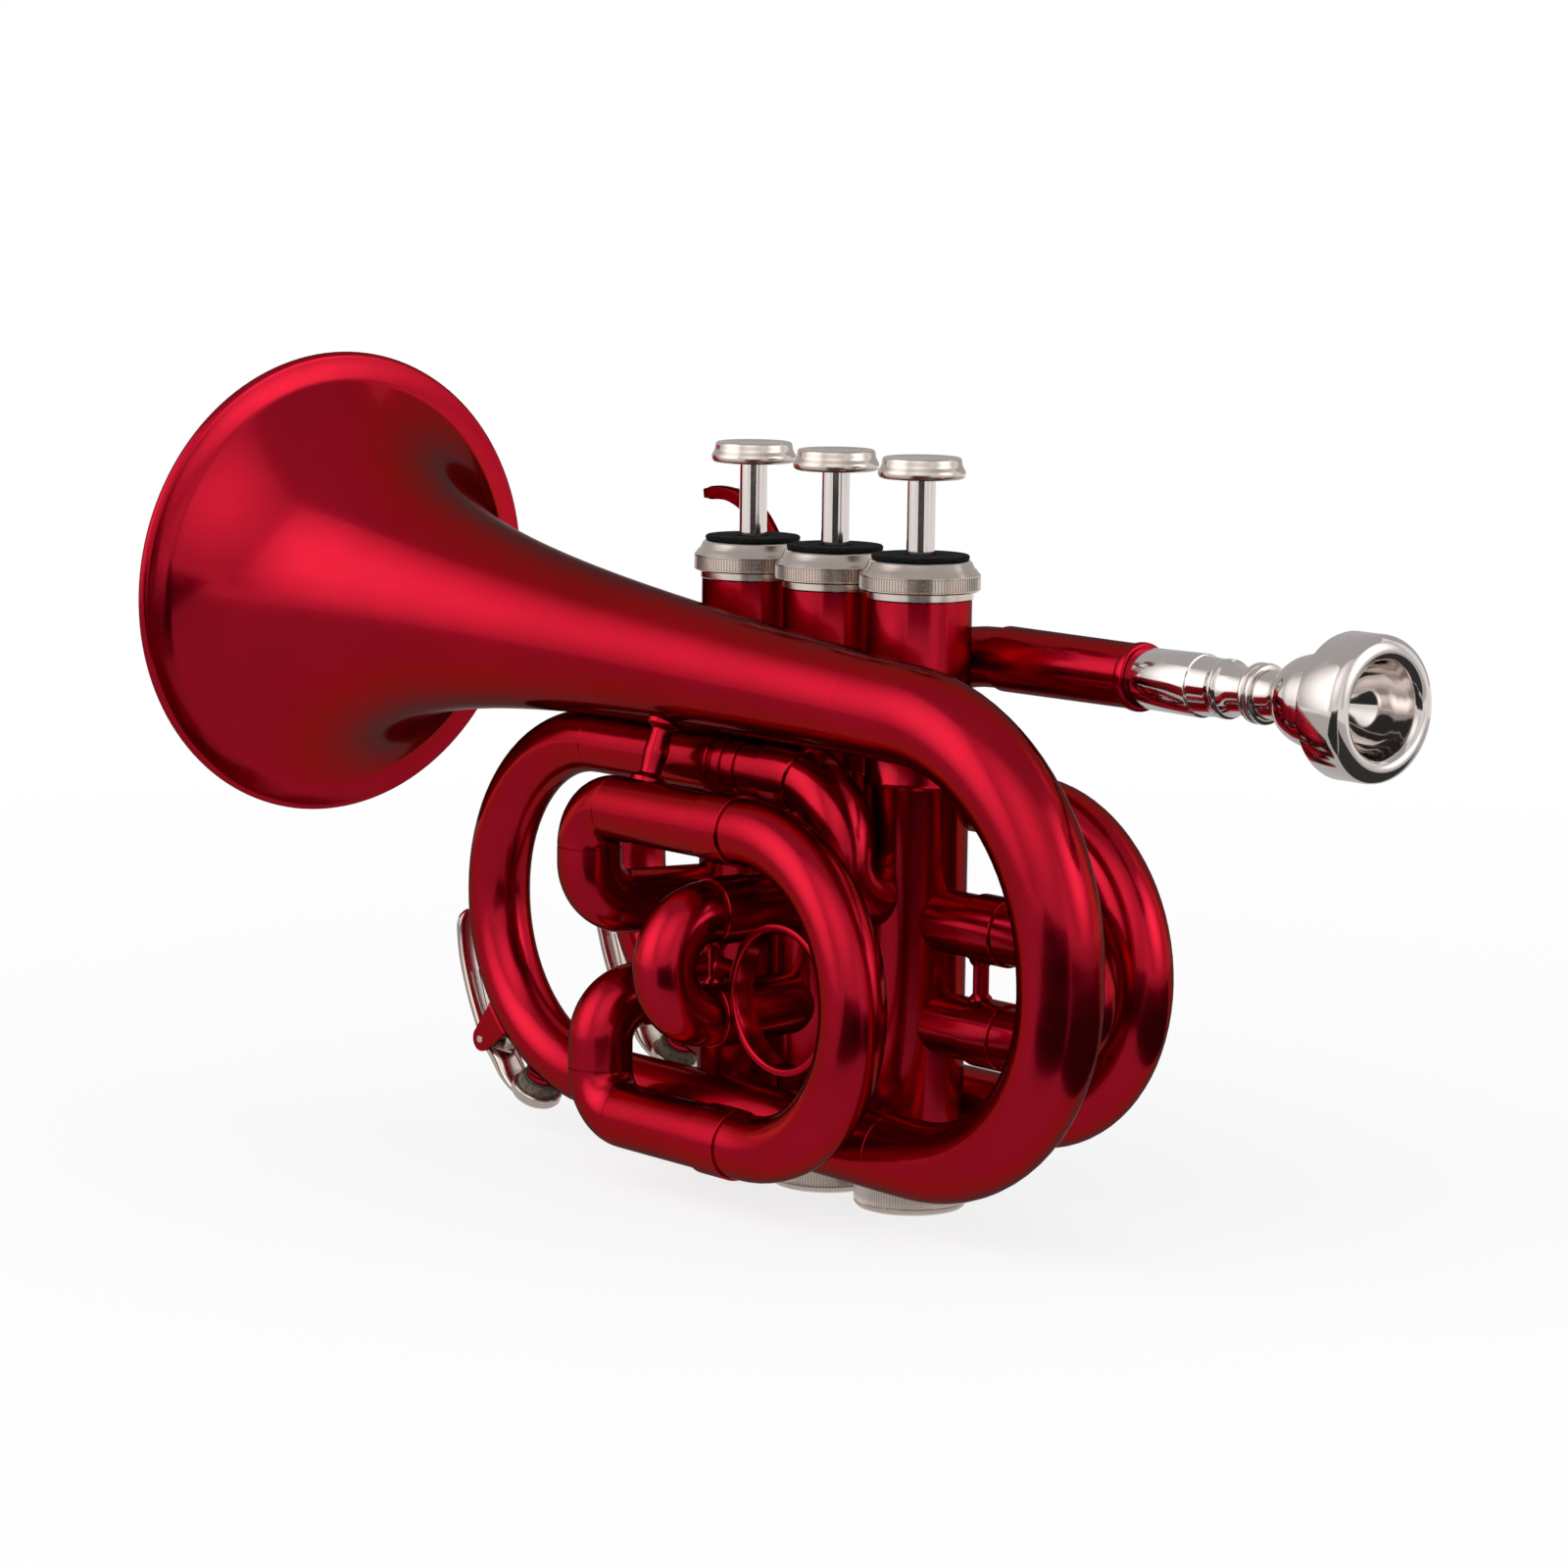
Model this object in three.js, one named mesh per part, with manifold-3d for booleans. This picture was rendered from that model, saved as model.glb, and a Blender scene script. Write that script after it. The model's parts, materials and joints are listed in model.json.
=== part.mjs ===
// Pocket trumpet: a trumpet of full sounding length wound into two small loops on either side of the valves.
// Millimetres, +Z up, +X towards the bell mouth, +Y to the player's left.
// The origin is below the axis of valve 1, level with the underside of the bottom caps.
import * as THREE from "three";
import { mergeVertices } from "three/addons/utils/BufferGeometryUtils.js";
import Module from "manifold-3d";

const wasm = await Module();
wasm.setup();

// Driving dimensions, valve block
const valvePitch = 24;
const casingRadius = 9.7;
const casingWall = 1;
const casingOverLeadpipe = 11.55;
const casingCollarRadius = 9.9;
const casingCollarDrop = 0.9;
const bottomCapRadius = 10.6;
const bottomCapHeight = 5.6;
const bottomCapFloor = 1.6;
const bottomCapFootRadius = 9.3;
const bottomCapFootHeight = 1.2;
const ventRadius = 1.2;
const ventCount = 3;
const ventCircle = 5.5;
const ventTurnShare = 0.5;
const topCapRadius = 11.2;
const topCapHeight = 7;
const topCapTopRadius = 9.3;
const topCapShoulderRadius = 10.1;
const topCapKnurlHeight = 3.3;
const topCapBandHeight = 1.3;
const topCapBandRadius = 9.95;
const topCapShoulderHeight = 5.3;
const topCapPlate = 1.8;
const feltRadius = 9.1;
const feltThickness = 0.8;
const stemRadius = 2.65;
const buttonRadius = 8.1;
const buttonTopRadius = 7.35;
const buttonHeight = 4;
const buttonFlangeHeight = 1.9;
const buttonDish = 0.4;
const buttonFootShare = 0.82;
const buttonWaistShare = 0.89;
const buttonDishShare = 0.8;
const valveStroke = 13.5;
const pistonSkirt = 18.4;
const pistonWall = 0.9;
const pistonHead = 3;
const passageRadius = 4.2;
const passageWall = 0.6;
const springRadius = 6.6;
const springWireRadius = 0.6;
const springTurns = 4;

// Driving dimensions, tubing
const tubeWall = 0.7;
const seatGap = 0.3;
const leadpipeRadius = 5.7;
const loopRadius = 6.2;
const portRadius = 4.3;
const smallSlideRadius = 5.9;
const ferruleStep = 0.5;
const ferruleLength = 8;
const elbowBend = 8.3;
const tightBend = 7.2;
const sideClearance = 0.6;

// Driving dimensions, bell
const bellRimRadius = 46.5;
const bellBeadRadius = 1.2;
const bellFlareReach = 20.4;
const bellFlarePower = 0.72;
const bellLength = 168;
const bellWall = 0.8;
// Stations along the bell, close together where it flares.
const bellStationShares = [0, 0.025, 0.06, 0.11, 0.175, 0.26, 0.37, 0.52, 0.74, 1];
const bellTilt = THREE.MathUtils.degToRad(3);
const bellRimX = 156;
const bellRiseOverLoop = 24.8;
const bellSideStep = 6.1;

// Driving dimensions, bell bow and the near loop below it
const bellBowRear = -60.2;
const bellBowBend = 39.6;
const bellBowEndX = -14;
const bellBowSideStep = 0.8;
const bellBowMiddleRadius = 7.8;
const bellBowEndRadius = 7.3;
const nearBottomHeight = 14.6;
const nearTopHeight = 81.3;
const nearFrontX = 106.3;
const nearTopEndX = 19.5;
const nearFerruleX = 27;
const nearFerruleRing = 2;
const nearFerrulePitch = 4;
const valve1BranchX = 1.6;
const valve1BranchBend = 14;
const valve1BranchDrop = 21.3;

// Driving dimensions, far loop with the leadpipe and the main tuning slide
const farSideStep = 0.2;
const receiverEndX = -42.8;
const receiverJointX = -6.8;
const receiverRadius = 5.95;
const receiverCollarRadius = 6.4;
const receiverCollarLength = 2;
const leadpipeRise = 14.45;
const leadpipeDropStartX = 6;
const leadpipeDropEndX = 36;
const leadpipeBend = 45;
const sleeveStartX = 48;
const valve3EntryStep = 1;
const sleeveEndX = 65.7;
const farTopOverNear = 7.1;
const farBottomHeight = 18;
const farFrontX = 103.6;
const farRearX = -43.3;
const farRearDrop = 12.8;
const mainSlideTravel = 14;
const mainSlideHold = 3;

// Driving dimensions, slides of the three valves
const portPitch = 19.4;
const smallSlideTravel = 10;
const smallSlideHold = 4;
const firstTubeReach = 26.5;
const firstBowReach = 36;
const secondSlideStep = 0.6;
const secondTubeReach = 29.2;
const secondBowReach = 30.2;
const thirdSideStep = 3.1;
const thirdBelowNear = 9;
const thirdOverPorts = 16.9;
const thirdUpperDrop = 19.5;
const thirdPortPitch = 17.8;
const thirdLowerDrop = 21.5;
const thirdCrookRear = -19.4;
const thirdJointX = 12;
const thirdSlideTravel = 20;
const thirdSlideHold = 8;
const thirdUpperTurnStep = 6.8;
const thirdLowerTurnStep = 3;
const thirdPortStep = 2.5;

// Driving dimensions, mouthpiece
const mouthpieceRimRadius = 12.95;
const mouthpieceOuterLength = 58.5;
const mouthpieceShankLength = 24;
const shankTipShare = 0.34;
const shankMouthShare = 0.385;
// Its outline as shares of the outer length, or below zero of the shank's length, and of the rim's radius.
const mouthpieceShares = [
  [-1, 0.26],
  [-1, shankTipShare],
  [0, shankMouthShare],
  [0, 0.43],
  [0.258, 0.446],
  [0.266, 0.418],
  [0.34, 0.404],
  [0.365, 0.404],
  [0.4, 0.345],
  [0.468, 0.33],
  [0.475, 0.421],
  [0.497, 0.421],
  [0.501, 0.39],
  [0.505, 0.421],
  [0.525, 0.421],
  [0.53, 0.35],
  [0.602, 0.344],
  [0.615, 0.43],
  [0.632, 0.5],
  [0.665, 0.585],
  [0.716, 0.64],
  [0.79, 0.66],
  [0.83, 0.78],
  [0.84, 0.97],
  [0.85, 1],
  [0.945, 1],
  [0.975, 0.955],
  [0.993, 0.885],
  [1, 0.81],
  [0.996, 0.74],
  [0.985, 0.67],
  [0.965, 0.645],
  [0.91, 0.59],
  [0.86, 0.48],
  [0.82, 0.3],
  [0.77, 0.145],
  [0.7, 0.145],
];

// Driving dimensions, fittings
const ringRadius = 14.3;
const ringWall = 1.8;
const ringWidth = 5;
const ringX = 3.8;
const ringSideStep = 2;
const ringDrop = 3.2;
const ringPostRadius = 1.5;
const ringConeRadius = 1.9;
const ringStemDrop = 0.7;
const ringSectionSides = 8;
const ringSides = 20;
const hookX = 55;
const hookWidth = 3.8;
const hookThickness = 2.5;
const hookRise = 33.8;
const hookReach = 26.8;
const hookFootRadius = 4;
const hookFootThickness = 1.4;
const hookTaperShare = 0.04;
const hookSteps = 12;
// The hook's spine as shares of its reach and its rise.
const hookShares = [
  [0, 0],
  [0.02, 0.35],
  [0.11, 0.57],
  [0.25, 0.74],
  [0.42, 0.885],
  [0.62, 0.965],
  [0.82, 0.985],
  [1, 0.97],
];
const braceX = 42;
const braceWaistShare = 0.6;
const braceFootThickness = 1.2;
const braceRadius = 1.8;
const braceFootRadius = 3.2;

// Driving dimensions, water keys
const keyWidth = 6.4;
const keyThickness = 1.4;
const keyStandoff = 5;
const keyPivotStandoff = 5.3;
const keyBarrelRadius = 2.5;
const keyPinRadius = 0.8;
const keyPinShow = 0.4;
const corkRadius = 4.2;
const corkThickness = 3.2;
const corkCupWall = 0.6;
const corkHoldShare = 0.65;
const spoutRadius = 3.1;
const spoutBoreRadius = 1.3;
const spoutRise = 1.6;
const keyEarThickness = 1.4;
const keyEarRadius = 2.2;
const spoutTurn = THREE.MathUtils.degToRad(62.3);
const keyPivotTurn = THREE.MathUtils.degToRad(42.6);
const keyEarTopTurn = THREE.MathUtils.degToRad(2.8);
const keyEarBaseTurn = THREE.MathUtils.degToRad(5.6);
const keyFootTurn = THREE.MathUtils.degToRad(5.6);
const keyFootHeight = 0.9;
// The lever's spine: degrees below the front of the bow, then its outer face's height and its thickness as
// shares of the standoff and of the lever's thickness.
const keySpineShares = [
  [7.5, 0.88, 0.8],
  [10.5, 1, 1],
  [18, 1.16, 1],
  [26, 1.26, 1],
  [36, 1.42, 1],
  [41, 1.54, 0.8],
  [47.5, 1.64, 2.1],
  [53, 1.68, 1.55],
  [58, 1.56, 1],
  [62.3, 1.36, 1],
  [68, 1.28, 1],
];
const keyWireRadius = 0.25;
const keyCoilTurns = 2.25;
const keyBarrelLength = 3.4;
const keyArmTurn = THREE.MathUtils.degToRad(24);
const keyArmHeightShare = 1.08;
const keyTailTurn = THREE.MathUtils.degToRad(52);

// Fineness of the facets
const tubeSides = 10;
const turnedSides = 16;
const portSides = 8;
const bellSides = 26;
const bowStep = THREE.MathUtils.degToRad(18);
const elbowStep = THREE.MathUtils.degToRad(30);
const leadpipeStep = THREE.MathUtils.degToRad(9);
const mouthpieceSides = 16;
const ventSides = 6;
const beadSteps = 4;
const springSides = 4;
const springStepsPerTurn = 8;
const pistonSides = 12;
const passageSides = 6;

// One overrun for every cutting tool
const overrun = 5;

// Levels worked out from the driving dimensions
const bellRimHeight = nearTopHeight + bellRiseOverLoop;
const valve1PortHeight = nearTopHeight - valve1BranchDrop;
const thirdTopHeight = nearTopHeight - thirdBelowNear;
const upperPortLevel = thirdTopHeight - thirdOverPorts;
const lowerPortLevel = upperPortLevel - portPitch;
const thirdUpperCrossHeight = thirdTopHeight - thirdUpperDrop;
const thirdLowerCrossHeight = thirdUpperCrossHeight - thirdPortPitch;
const thirdBottomHeight = thirdLowerCrossHeight - thirdLowerDrop;
const ringStemHeight = lowerPortLevel + portPitch / 2 - ringStemDrop;
const ringHeight = ringStemHeight - ringDrop;
const casingCollarHeight = nearTopHeight - casingCollarDrop;
const farTopHeight = nearTopHeight + farTopOverNear;
const farRearTopHeight = farTopHeight - farRearDrop;
const leadpipeHeight = farTopHeight + leadpipeRise;
const casingBottom = bottomCapHeight + seatGap;
const casingTop = leadpipeHeight + casingOverLeadpipe;
const casingBore = casingRadius - casingWall;
const topCapBottom = casingTop + seatGap;
const topCapTop = topCapBottom + topCapHeight;
const feltBottom = topCapTop + seatGap;
const feltTop = feltBottom + feltThickness;
const buttonBottom = feltTop + seatGap + valveStroke;
const pistonRadius = casingBore - seatGap;
const pistonTop = casingTop - seatGap;
const pistonBottom = lowerPortLevel + valveStroke - pistonSkirt;
const restPortLevel = (lowerPortLevel + upperPortLevel) / 2 + valveStroke;
const portBend = portPitch / 2;

// Places across and along the instrument, worked out from the driving dimensions
const nearSide = casingRadius + sideClearance + loopRadius;
const farSide = farSideStep - nearSide;
const bellSide = nearSide + bellSideStep;
const bellBowEndSide = nearSide + bellBowSideStep;
const thirdSide = nearSide + 2 * loopRadius + thirdSideStep;
const ringNearSide = thirdSide - ringSideStep;
const ringStemSide = ringNearSide - ringWidth / 2;
const secondSlideX = valvePitch + secondSlideStep;
const thirdPortX = 2 * valvePitch + thirdPortStep;
const thirdUpperTurnX = thirdPortX + thirdUpperTurnStep;
const thirdLowerTurnX = thirdPortX + thirdLowerTurnStep;
const valve3EntryX = 2 * valvePitch + valve3EntryStep;
const mainSlideLeg = mainSlideTravel + mainSlideHold;
const smallSlideLeg = smallSlideTravel + smallSlideHold;
const thirdSlideLeg = thirdSlideTravel + thirdSlideHold;
const keyCoilRadius = keyPinRadius + seatGap + keyWireRadius;

// Materials
const lacquer = new THREE.MeshStandardMaterial({ color: 0xb5101f, roughness: 0.18, metalness: 0.9 });
const nickel = new THREE.MeshStandardMaterial({ color: 0xb9ada0, roughness: 0.25, metalness: 1 });
const chrome = new THREE.MeshStandardMaterial({ color: 0xd6d3d4, roughness: 0.1, metalness: 1 });
const slideBrass = new THREE.MeshStandardMaterial({ color: 0xc9b48a, roughness: 0.25, metalness: 1 });
const steel = new THREE.MeshStandardMaterial({ color: 0x8d8d90, roughness: 0.35, metalness: 1 });
const blackFelt = new THREE.MeshStandardMaterial({ color: 0x141213, roughness: 0.95, metalness: 0 });
const cork = new THREE.MeshStandardMaterial({ color: 0x4b423c, roughness: 0.9, metalness: 0 });

const trumpet = new THREE.Group();
const axisX = new THREE.Vector3(1, 0, 0);
const axisY = new THREE.Vector3(0, 1, 0);
const axisZ = new THREE.Vector3(0, 0, 1);

function at(x, y, z) {
  return new THREE.Vector3(x, y, z);
}

// A closed geometry as a solid whose faces point out.
function solidOf(geometry) {
  const plain = geometry.index ? geometry.toNonIndexed() : geometry.clone();
  const bare = new THREE.BufferGeometry();
  bare.setAttribute("position", plain.getAttribute("position"));
  const merged = mergeVertices(bare, seatGap / 1000);
  const mesh = new wasm.Mesh({
    numProp: 3,
    vertProperties: merged.attributes.position.array,
    triVerts: new Uint32Array(merged.index.array),
  });
  return new wasm.Manifold(mesh);
}

function geometryOf(solid) {
  const mesh = solid.getMesh();
  const geometry = new THREE.BufferGeometry();
  const places = new Float32Array(mesh.numVert * 3);
  for (let i = 0; i < mesh.numVert; i++) {
    places.set(mesh.vertProperties.subarray(i * mesh.numProp, i * mesh.numProp + 3), i * 3);
  }
  geometry.setAttribute("position", new THREE.BufferAttribute(places, 3));
  geometry.setIndex(new THREE.BufferAttribute(new Uint32Array(mesh.triVerts), 1));
  geometry.computeVertexNormals();
  return geometry;
}

function joined(...geometries) {
  return geometryOf(geometries.map(solidOf).reduce((whole, piece) => whole.add(piece)));
}

function cut(geometry, ...tools) {
  return geometryOf(tools.map(solidOf).reduce((whole, tool) => whole.subtract(tool), solidOf(geometry)));
}

function addPiece(name, geometry, material) {
  const mesh = new THREE.Mesh(geometry, material);
  mesh.name = name;
  trumpet.add(mesh);
  return mesh;
}

// Turns a shape made along +Y so that it points along a direction from a place.
function placed(geometry, origin, direction) {
  const turn = new THREE.Quaternion().setFromUnitVectors(axisY, direction.clone().normalize());
  return geometry.applyQuaternion(turn).translate(origin.x, origin.y, origin.z);
}

// A ring turned about an axis: its outline is a closed list of [radius, height] pairs.
function turned(outline, sides, origin, direction) {
  const points = [...outline, outline[0]].map(([radius, height]) => new THREE.Vector2(radius, height));
  return placed(facingOut(new THREE.LatheGeometry(points, sides)), origin, direction);
}

// A solid turned about an axis: its outline starts and ends on the axis.
function turnedSolid(outline, sides, origin, direction) {
  const points = outline.map(([radius, height]) => new THREE.Vector2(radius, height));
  return placed(facingOut(new THREE.LatheGeometry(points, sides)), origin, direction);
}

function rod(radius, origin, direction, length, sides = tubeSides) {
  const shape = new THREE.CylinderGeometry(radius, radius, length, sides);
  return placed(shape.translate(0, length / 2, 0), origin, direction);
}

// Reverses the faces of a shape whose faces point in.
function facingOut(geometry) {
  const places = geometry.attributes.position;
  const [a, b, c] = [at(0, 0, 0), at(0, 0, 0), at(0, 0, 0)];
  const index = geometry.index.array;
  let volume = 0;
  for (let i = 0; i < index.length; i += 3) {
    a.fromBufferAttribute(places, index[i]);
    b.fromBufferAttribute(places, index[i + 1]);
    c.fromBufferAttribute(places, index[i + 2]);
    volume += a.dot(b.cross(c));
  }
  if (volume < 0) {
    for (let i = 0; i < index.length; i += 3) {
      [index[i + 1], index[i + 2]] = [index[i + 2], index[i + 1]];
    }
  }
  return geometry;
}

// A route of straight runs joined by arcs, from its corners and one bend radius for each inner corner.
// It is a list of stations, each with its place, its direction and the way travelled to it.
function route(corners, bends, step) {
  const stations = [];
  const push = (place, along) => {
    const last = stations[stations.length - 1];
    const travelled = last ? last.travelled + chord(last, place, along) : 0;
    if (!last || travelled - last.travelled > seatGap / 10) {
      stations.push({ place, along, travelled });
    }
  };
  const runs = corners.slice(1).map((corner, i) => corner.clone().sub(corners[i]).normalize());
  push(corners[0].clone(), runs[0]);
  for (let i = 0; i < bends.length; i++) {
    const angle = runs[i].angleTo(runs[i + 1]);
    const tangent = bends[i] * Math.tan(angle / 2);
    const hinge = runs[i].clone().cross(runs[i + 1]).normalize();
    const start = corners[i + 1].clone().addScaledVector(runs[i], -tangent);
    const centre = start.clone().addScaledVector(hinge.clone().cross(runs[i]), bends[i]);
    const count = Math.max(1, Math.ceil(angle / step - 1e-6));
    for (let k = 0; k <= count; k++) {
      const turn = (angle * k) / count;
      const place = start.clone().sub(centre).applyAxisAngle(hinge, turn).add(centre);
      push(place, runs[i].clone().applyAxisAngle(hinge, turn));
    }
  }
  push(corners[corners.length - 1].clone(), runs[runs.length - 1]);
  return stations;
}

// The length of the run or arc from a station to a place with a given direction.
function chord(station, place, along) {
  const straight = station.place.distanceTo(place);
  const turn = station.along.angleTo(along);
  return turn < 1e-6 ? straight : (straight * turn) / 2 / Math.sin(turn / 2);
}

function routeLength(stations) {
  return stations[stations.length - 1].travelled;
}

// The station at a given way along a route.
function stationAt(stations, travelled) {
  const next = Math.max(1, stations.findIndex((station) => station.travelled >= travelled));
  const [a, b] = [stations[next - 1], stations[next]];
  const share = (travelled - a.travelled) / (b.travelled - a.travelled);
  const place = a.place.clone().lerp(b.place, share);
  return { place, along: a.along.clone().lerp(b.along, share).normalize(), travelled };
}

// The rings of a skin along a route. Its profile lists [way travelled, radius] pairs, and two pairs
// at one place are a step. The ways may start and end inside the route.
function ringsAlong(stations, profile) {
  const total = routeLength(stations);
  const radiusAt = (travelled) => {
    const next = Math.max(1, profile.findIndex(([way]) => way >= travelled));
    const [[fromWay, fromRadius], [toWay, toRadius]] = [profile[next - 1], profile[next]];
    const share = toWay > fromWay ? (travelled - fromWay) / (toWay - fromWay) : 1;
    return fromRadius + (toRadius - fromRadius) * share;
  };
  const isStep = (station) => profile.some(([way]) => Math.abs(way - station.travelled) < seatGap / 10);
  const rings = stations
    .filter((station) => !isStep(station))
    .map((station) => ({ station, radius: radiusAt(station.travelled), order: 0 }));
  profile.forEach(([way, radius], order) => {
    rings.push({ station: stationAt(stations, Math.min(way, total)), radius, order });
  });
  return rings.sort((a, b) => a.station.travelled - b.station.travelled || a.order - b.order);
}

// A round tube along a route, with an outer and a bore profile.
function tube(stations, profile, boreProfile, sides = tubeSides) {
  const outer = ringsAlong(stations, profile);
  const inner = ringsAlong(stations, boreProfile).reverse();
  return loft([...outer, ...inner], sides, true);
}

// A solid bar along a route.
function bar(stations, radius, sides = tubeSides) {
  return loft(stations.map((station) => ({ station, radius })), sides, false);
}

// Joins rings of equal count into one skin. A looped skin joins its last ring to its first,
// and any other is closed by a face at each end.
function loft(rings, sides, looped) {
  const places = [];
  const index = [];
  const frames = new Map();
  let across = null;
  let lastAlong = null;
  for (const { station } of [...rings].sort((a, b) => a.station.travelled - b.station.travelled)) {
    if (across) {
      across.applyQuaternion(new THREE.Quaternion().setFromUnitVectors(lastAlong, station.along));
    } else {
      across = Math.abs(station.along.y) < Math.SQRT1_2 ? axisY.clone() : axisZ.clone();
    }
    across.addScaledVector(station.along, -across.dot(station.along)).normalize();
    lastAlong = station.along.clone();
    frames.set(station.travelled, [across.clone(), station.along.clone().cross(across)]);
  }
  for (const { station, radius } of rings) {
    const [u, v] = frames.get(station.travelled);
    for (let k = 0; k < sides; k++) {
      const angle = (2 * Math.PI * k) / sides;
      const place = station.place.clone().addScaledVector(u, radius * Math.cos(angle));
      place.addScaledVector(v, radius * Math.sin(angle));
      places.push(place.x, place.y, place.z);
    }
  }
  for (let ring = 0; ring < rings.length - (looped ? 0 : 1); ring++) {
    const next = (ring + 1) % rings.length;
    for (let k = 0; k < sides; k++) {
      const side = (k + 1) % sides;
      const [a, b] = [ring * sides + k, ring * sides + side];
      const [c, d] = [next * sides + k, next * sides + side];
      index.push(a, b, d, a, d, c);
    }
  }
  for (let k = 2; k < sides && !looped; k++) {
    const last = (rings.length - 1) * sides;
    index.push(0, k, k - 1, last, last + k - 1, last + k);
  }
  const geometry = new THREE.BufferGeometry();
  geometry.setAttribute("position", new THREE.Float32BufferAttribute(places, 3));
  geometry.setIndex(index);
  return facingOut(geometry);
}

// A plain tube of one radius, with a raised ferrule at its start, its end or neither.
function plainTube(stations, radius, ferrules = {}) {
  const total = routeLength(stations);
  const raised = radius + ferruleStep;
  const [first, last] = [ferruleLength, total - ferruleLength];
  const startPairs = ferrules.start ? [[0, raised], [first, raised], [first, radius]] : [[0, radius]];
  const endPairs = ferrules.end ? [[last, radius], [last, raised], [total, raised]] : [[total, radius]];
  const bore = radius - tubeWall;
  return tube(stations, [...startPairs, ...endPairs], [[0, bore], [total, bore]]);
}

// A slide crook: a bow of the outer tubes' radius, with a thinner leg at each end that fits inside them.
function crook(stations, radius, leg) {
  const total = routeLength(stations);
  const thin = radius - tubeWall - seatGap;
  const bore = thin - tubeWall;
  const start = [[0, thin], [leg, thin], [leg, radius]];
  const end = [[total - leg, radius], [total - leg, thin], [total, thin]];
  return tube(stations, [...start, ...end], [[0, bore], [total, bore]]);
}

// A cutting tool that clears one valve casing by the seat gap.
function casingTool(valve) {
  const origin = at(valve * valvePitch, 0, casingBottom - overrun);
  return rod(casingRadius + seatGap, origin, axisZ, casingTop - casingBottom + 2 * overrun, turnedSides);
}

// The stations of a helix that climbs an axis parallel to one of the frame's axes.
function helix(origin, direction, radius, turns, rise) {
  const stepCount = Math.round(turns * springStepsPerTurn);
  const turnOf = new THREE.Quaternion().setFromUnitVectors(axisZ, direction);
  const stations = [];
  for (let i = 0; i <= stepCount; i++) {
    const angle = (2 * Math.PI * turns * i) / stepCount;
    const place = at(radius * Math.cos(angle), radius * Math.sin(angle), (rise * i) / stepCount);
    const climb = rise / (2 * Math.PI * turns);
    const along = at(-radius * Math.sin(angle), radius * Math.cos(angle), climb).normalize();
    stations.push({
      place: place.applyQuaternion(turnOf).add(origin),
      along: along.applyQuaternion(turnOf),
      travelled: angle * Math.hypot(radius, climb),
    });
  }
  return stations;
}

// Valves

// The way that each valve's slide leaves its casing.
const slideWays = [at(-1, 0, 0), at(0, 1, 0), at(thirdPortStep, casingRadius, 0).normalize()];

function portTools(valve) {
  const x = valve * valvePitch;
  const reach = casingRadius + overrun;
  const bore = (height, way) => rod(portRadius, at(x, 0, height), way, reach, portSides);
  const thirdLevels = [thirdLowerCrossHeight, thirdUpperCrossHeight];
  const levels = valve === 2 ? thirdLevels : [lowerPortLevel, upperPortLevel];
  const tools = levels.map((height) => bore(height, slideWays[valve]));
  if (valve === 0) {
    tools.push(bore(valve1PortHeight, axisY));
  } else {
    tools.push(bore(restPortLevel, at(-1, 0, 0)));
  }
  if (valve === 2) {
    tools.push(bore(farRearTopHeight, at(0, -1, 0)));
  } else {
    tools.push(bore(restPortLevel, axisX));
  }
  return tools;
}

function makeCasing(valve) {
  const collar = casingCollarRadius - casingRadius;
  const outline = [
    [casingBore, casingBottom],
    [casingRadius, casingBottom],
    [casingRadius, casingCollarHeight - collar],
    [casingCollarRadius, casingCollarHeight],
    [casingRadius, casingCollarHeight + collar],
    [casingRadius, casingTop],
    [casingBore, casingTop],
  ];
  const tubeShape = turned(outline, turnedSides, at(valve * valvePitch, 0, 0), axisZ);
  addPiece(`valve_casing_${valve + 1}`, cut(tubeShape, ...portTools(valve)), lacquer);
}

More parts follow.
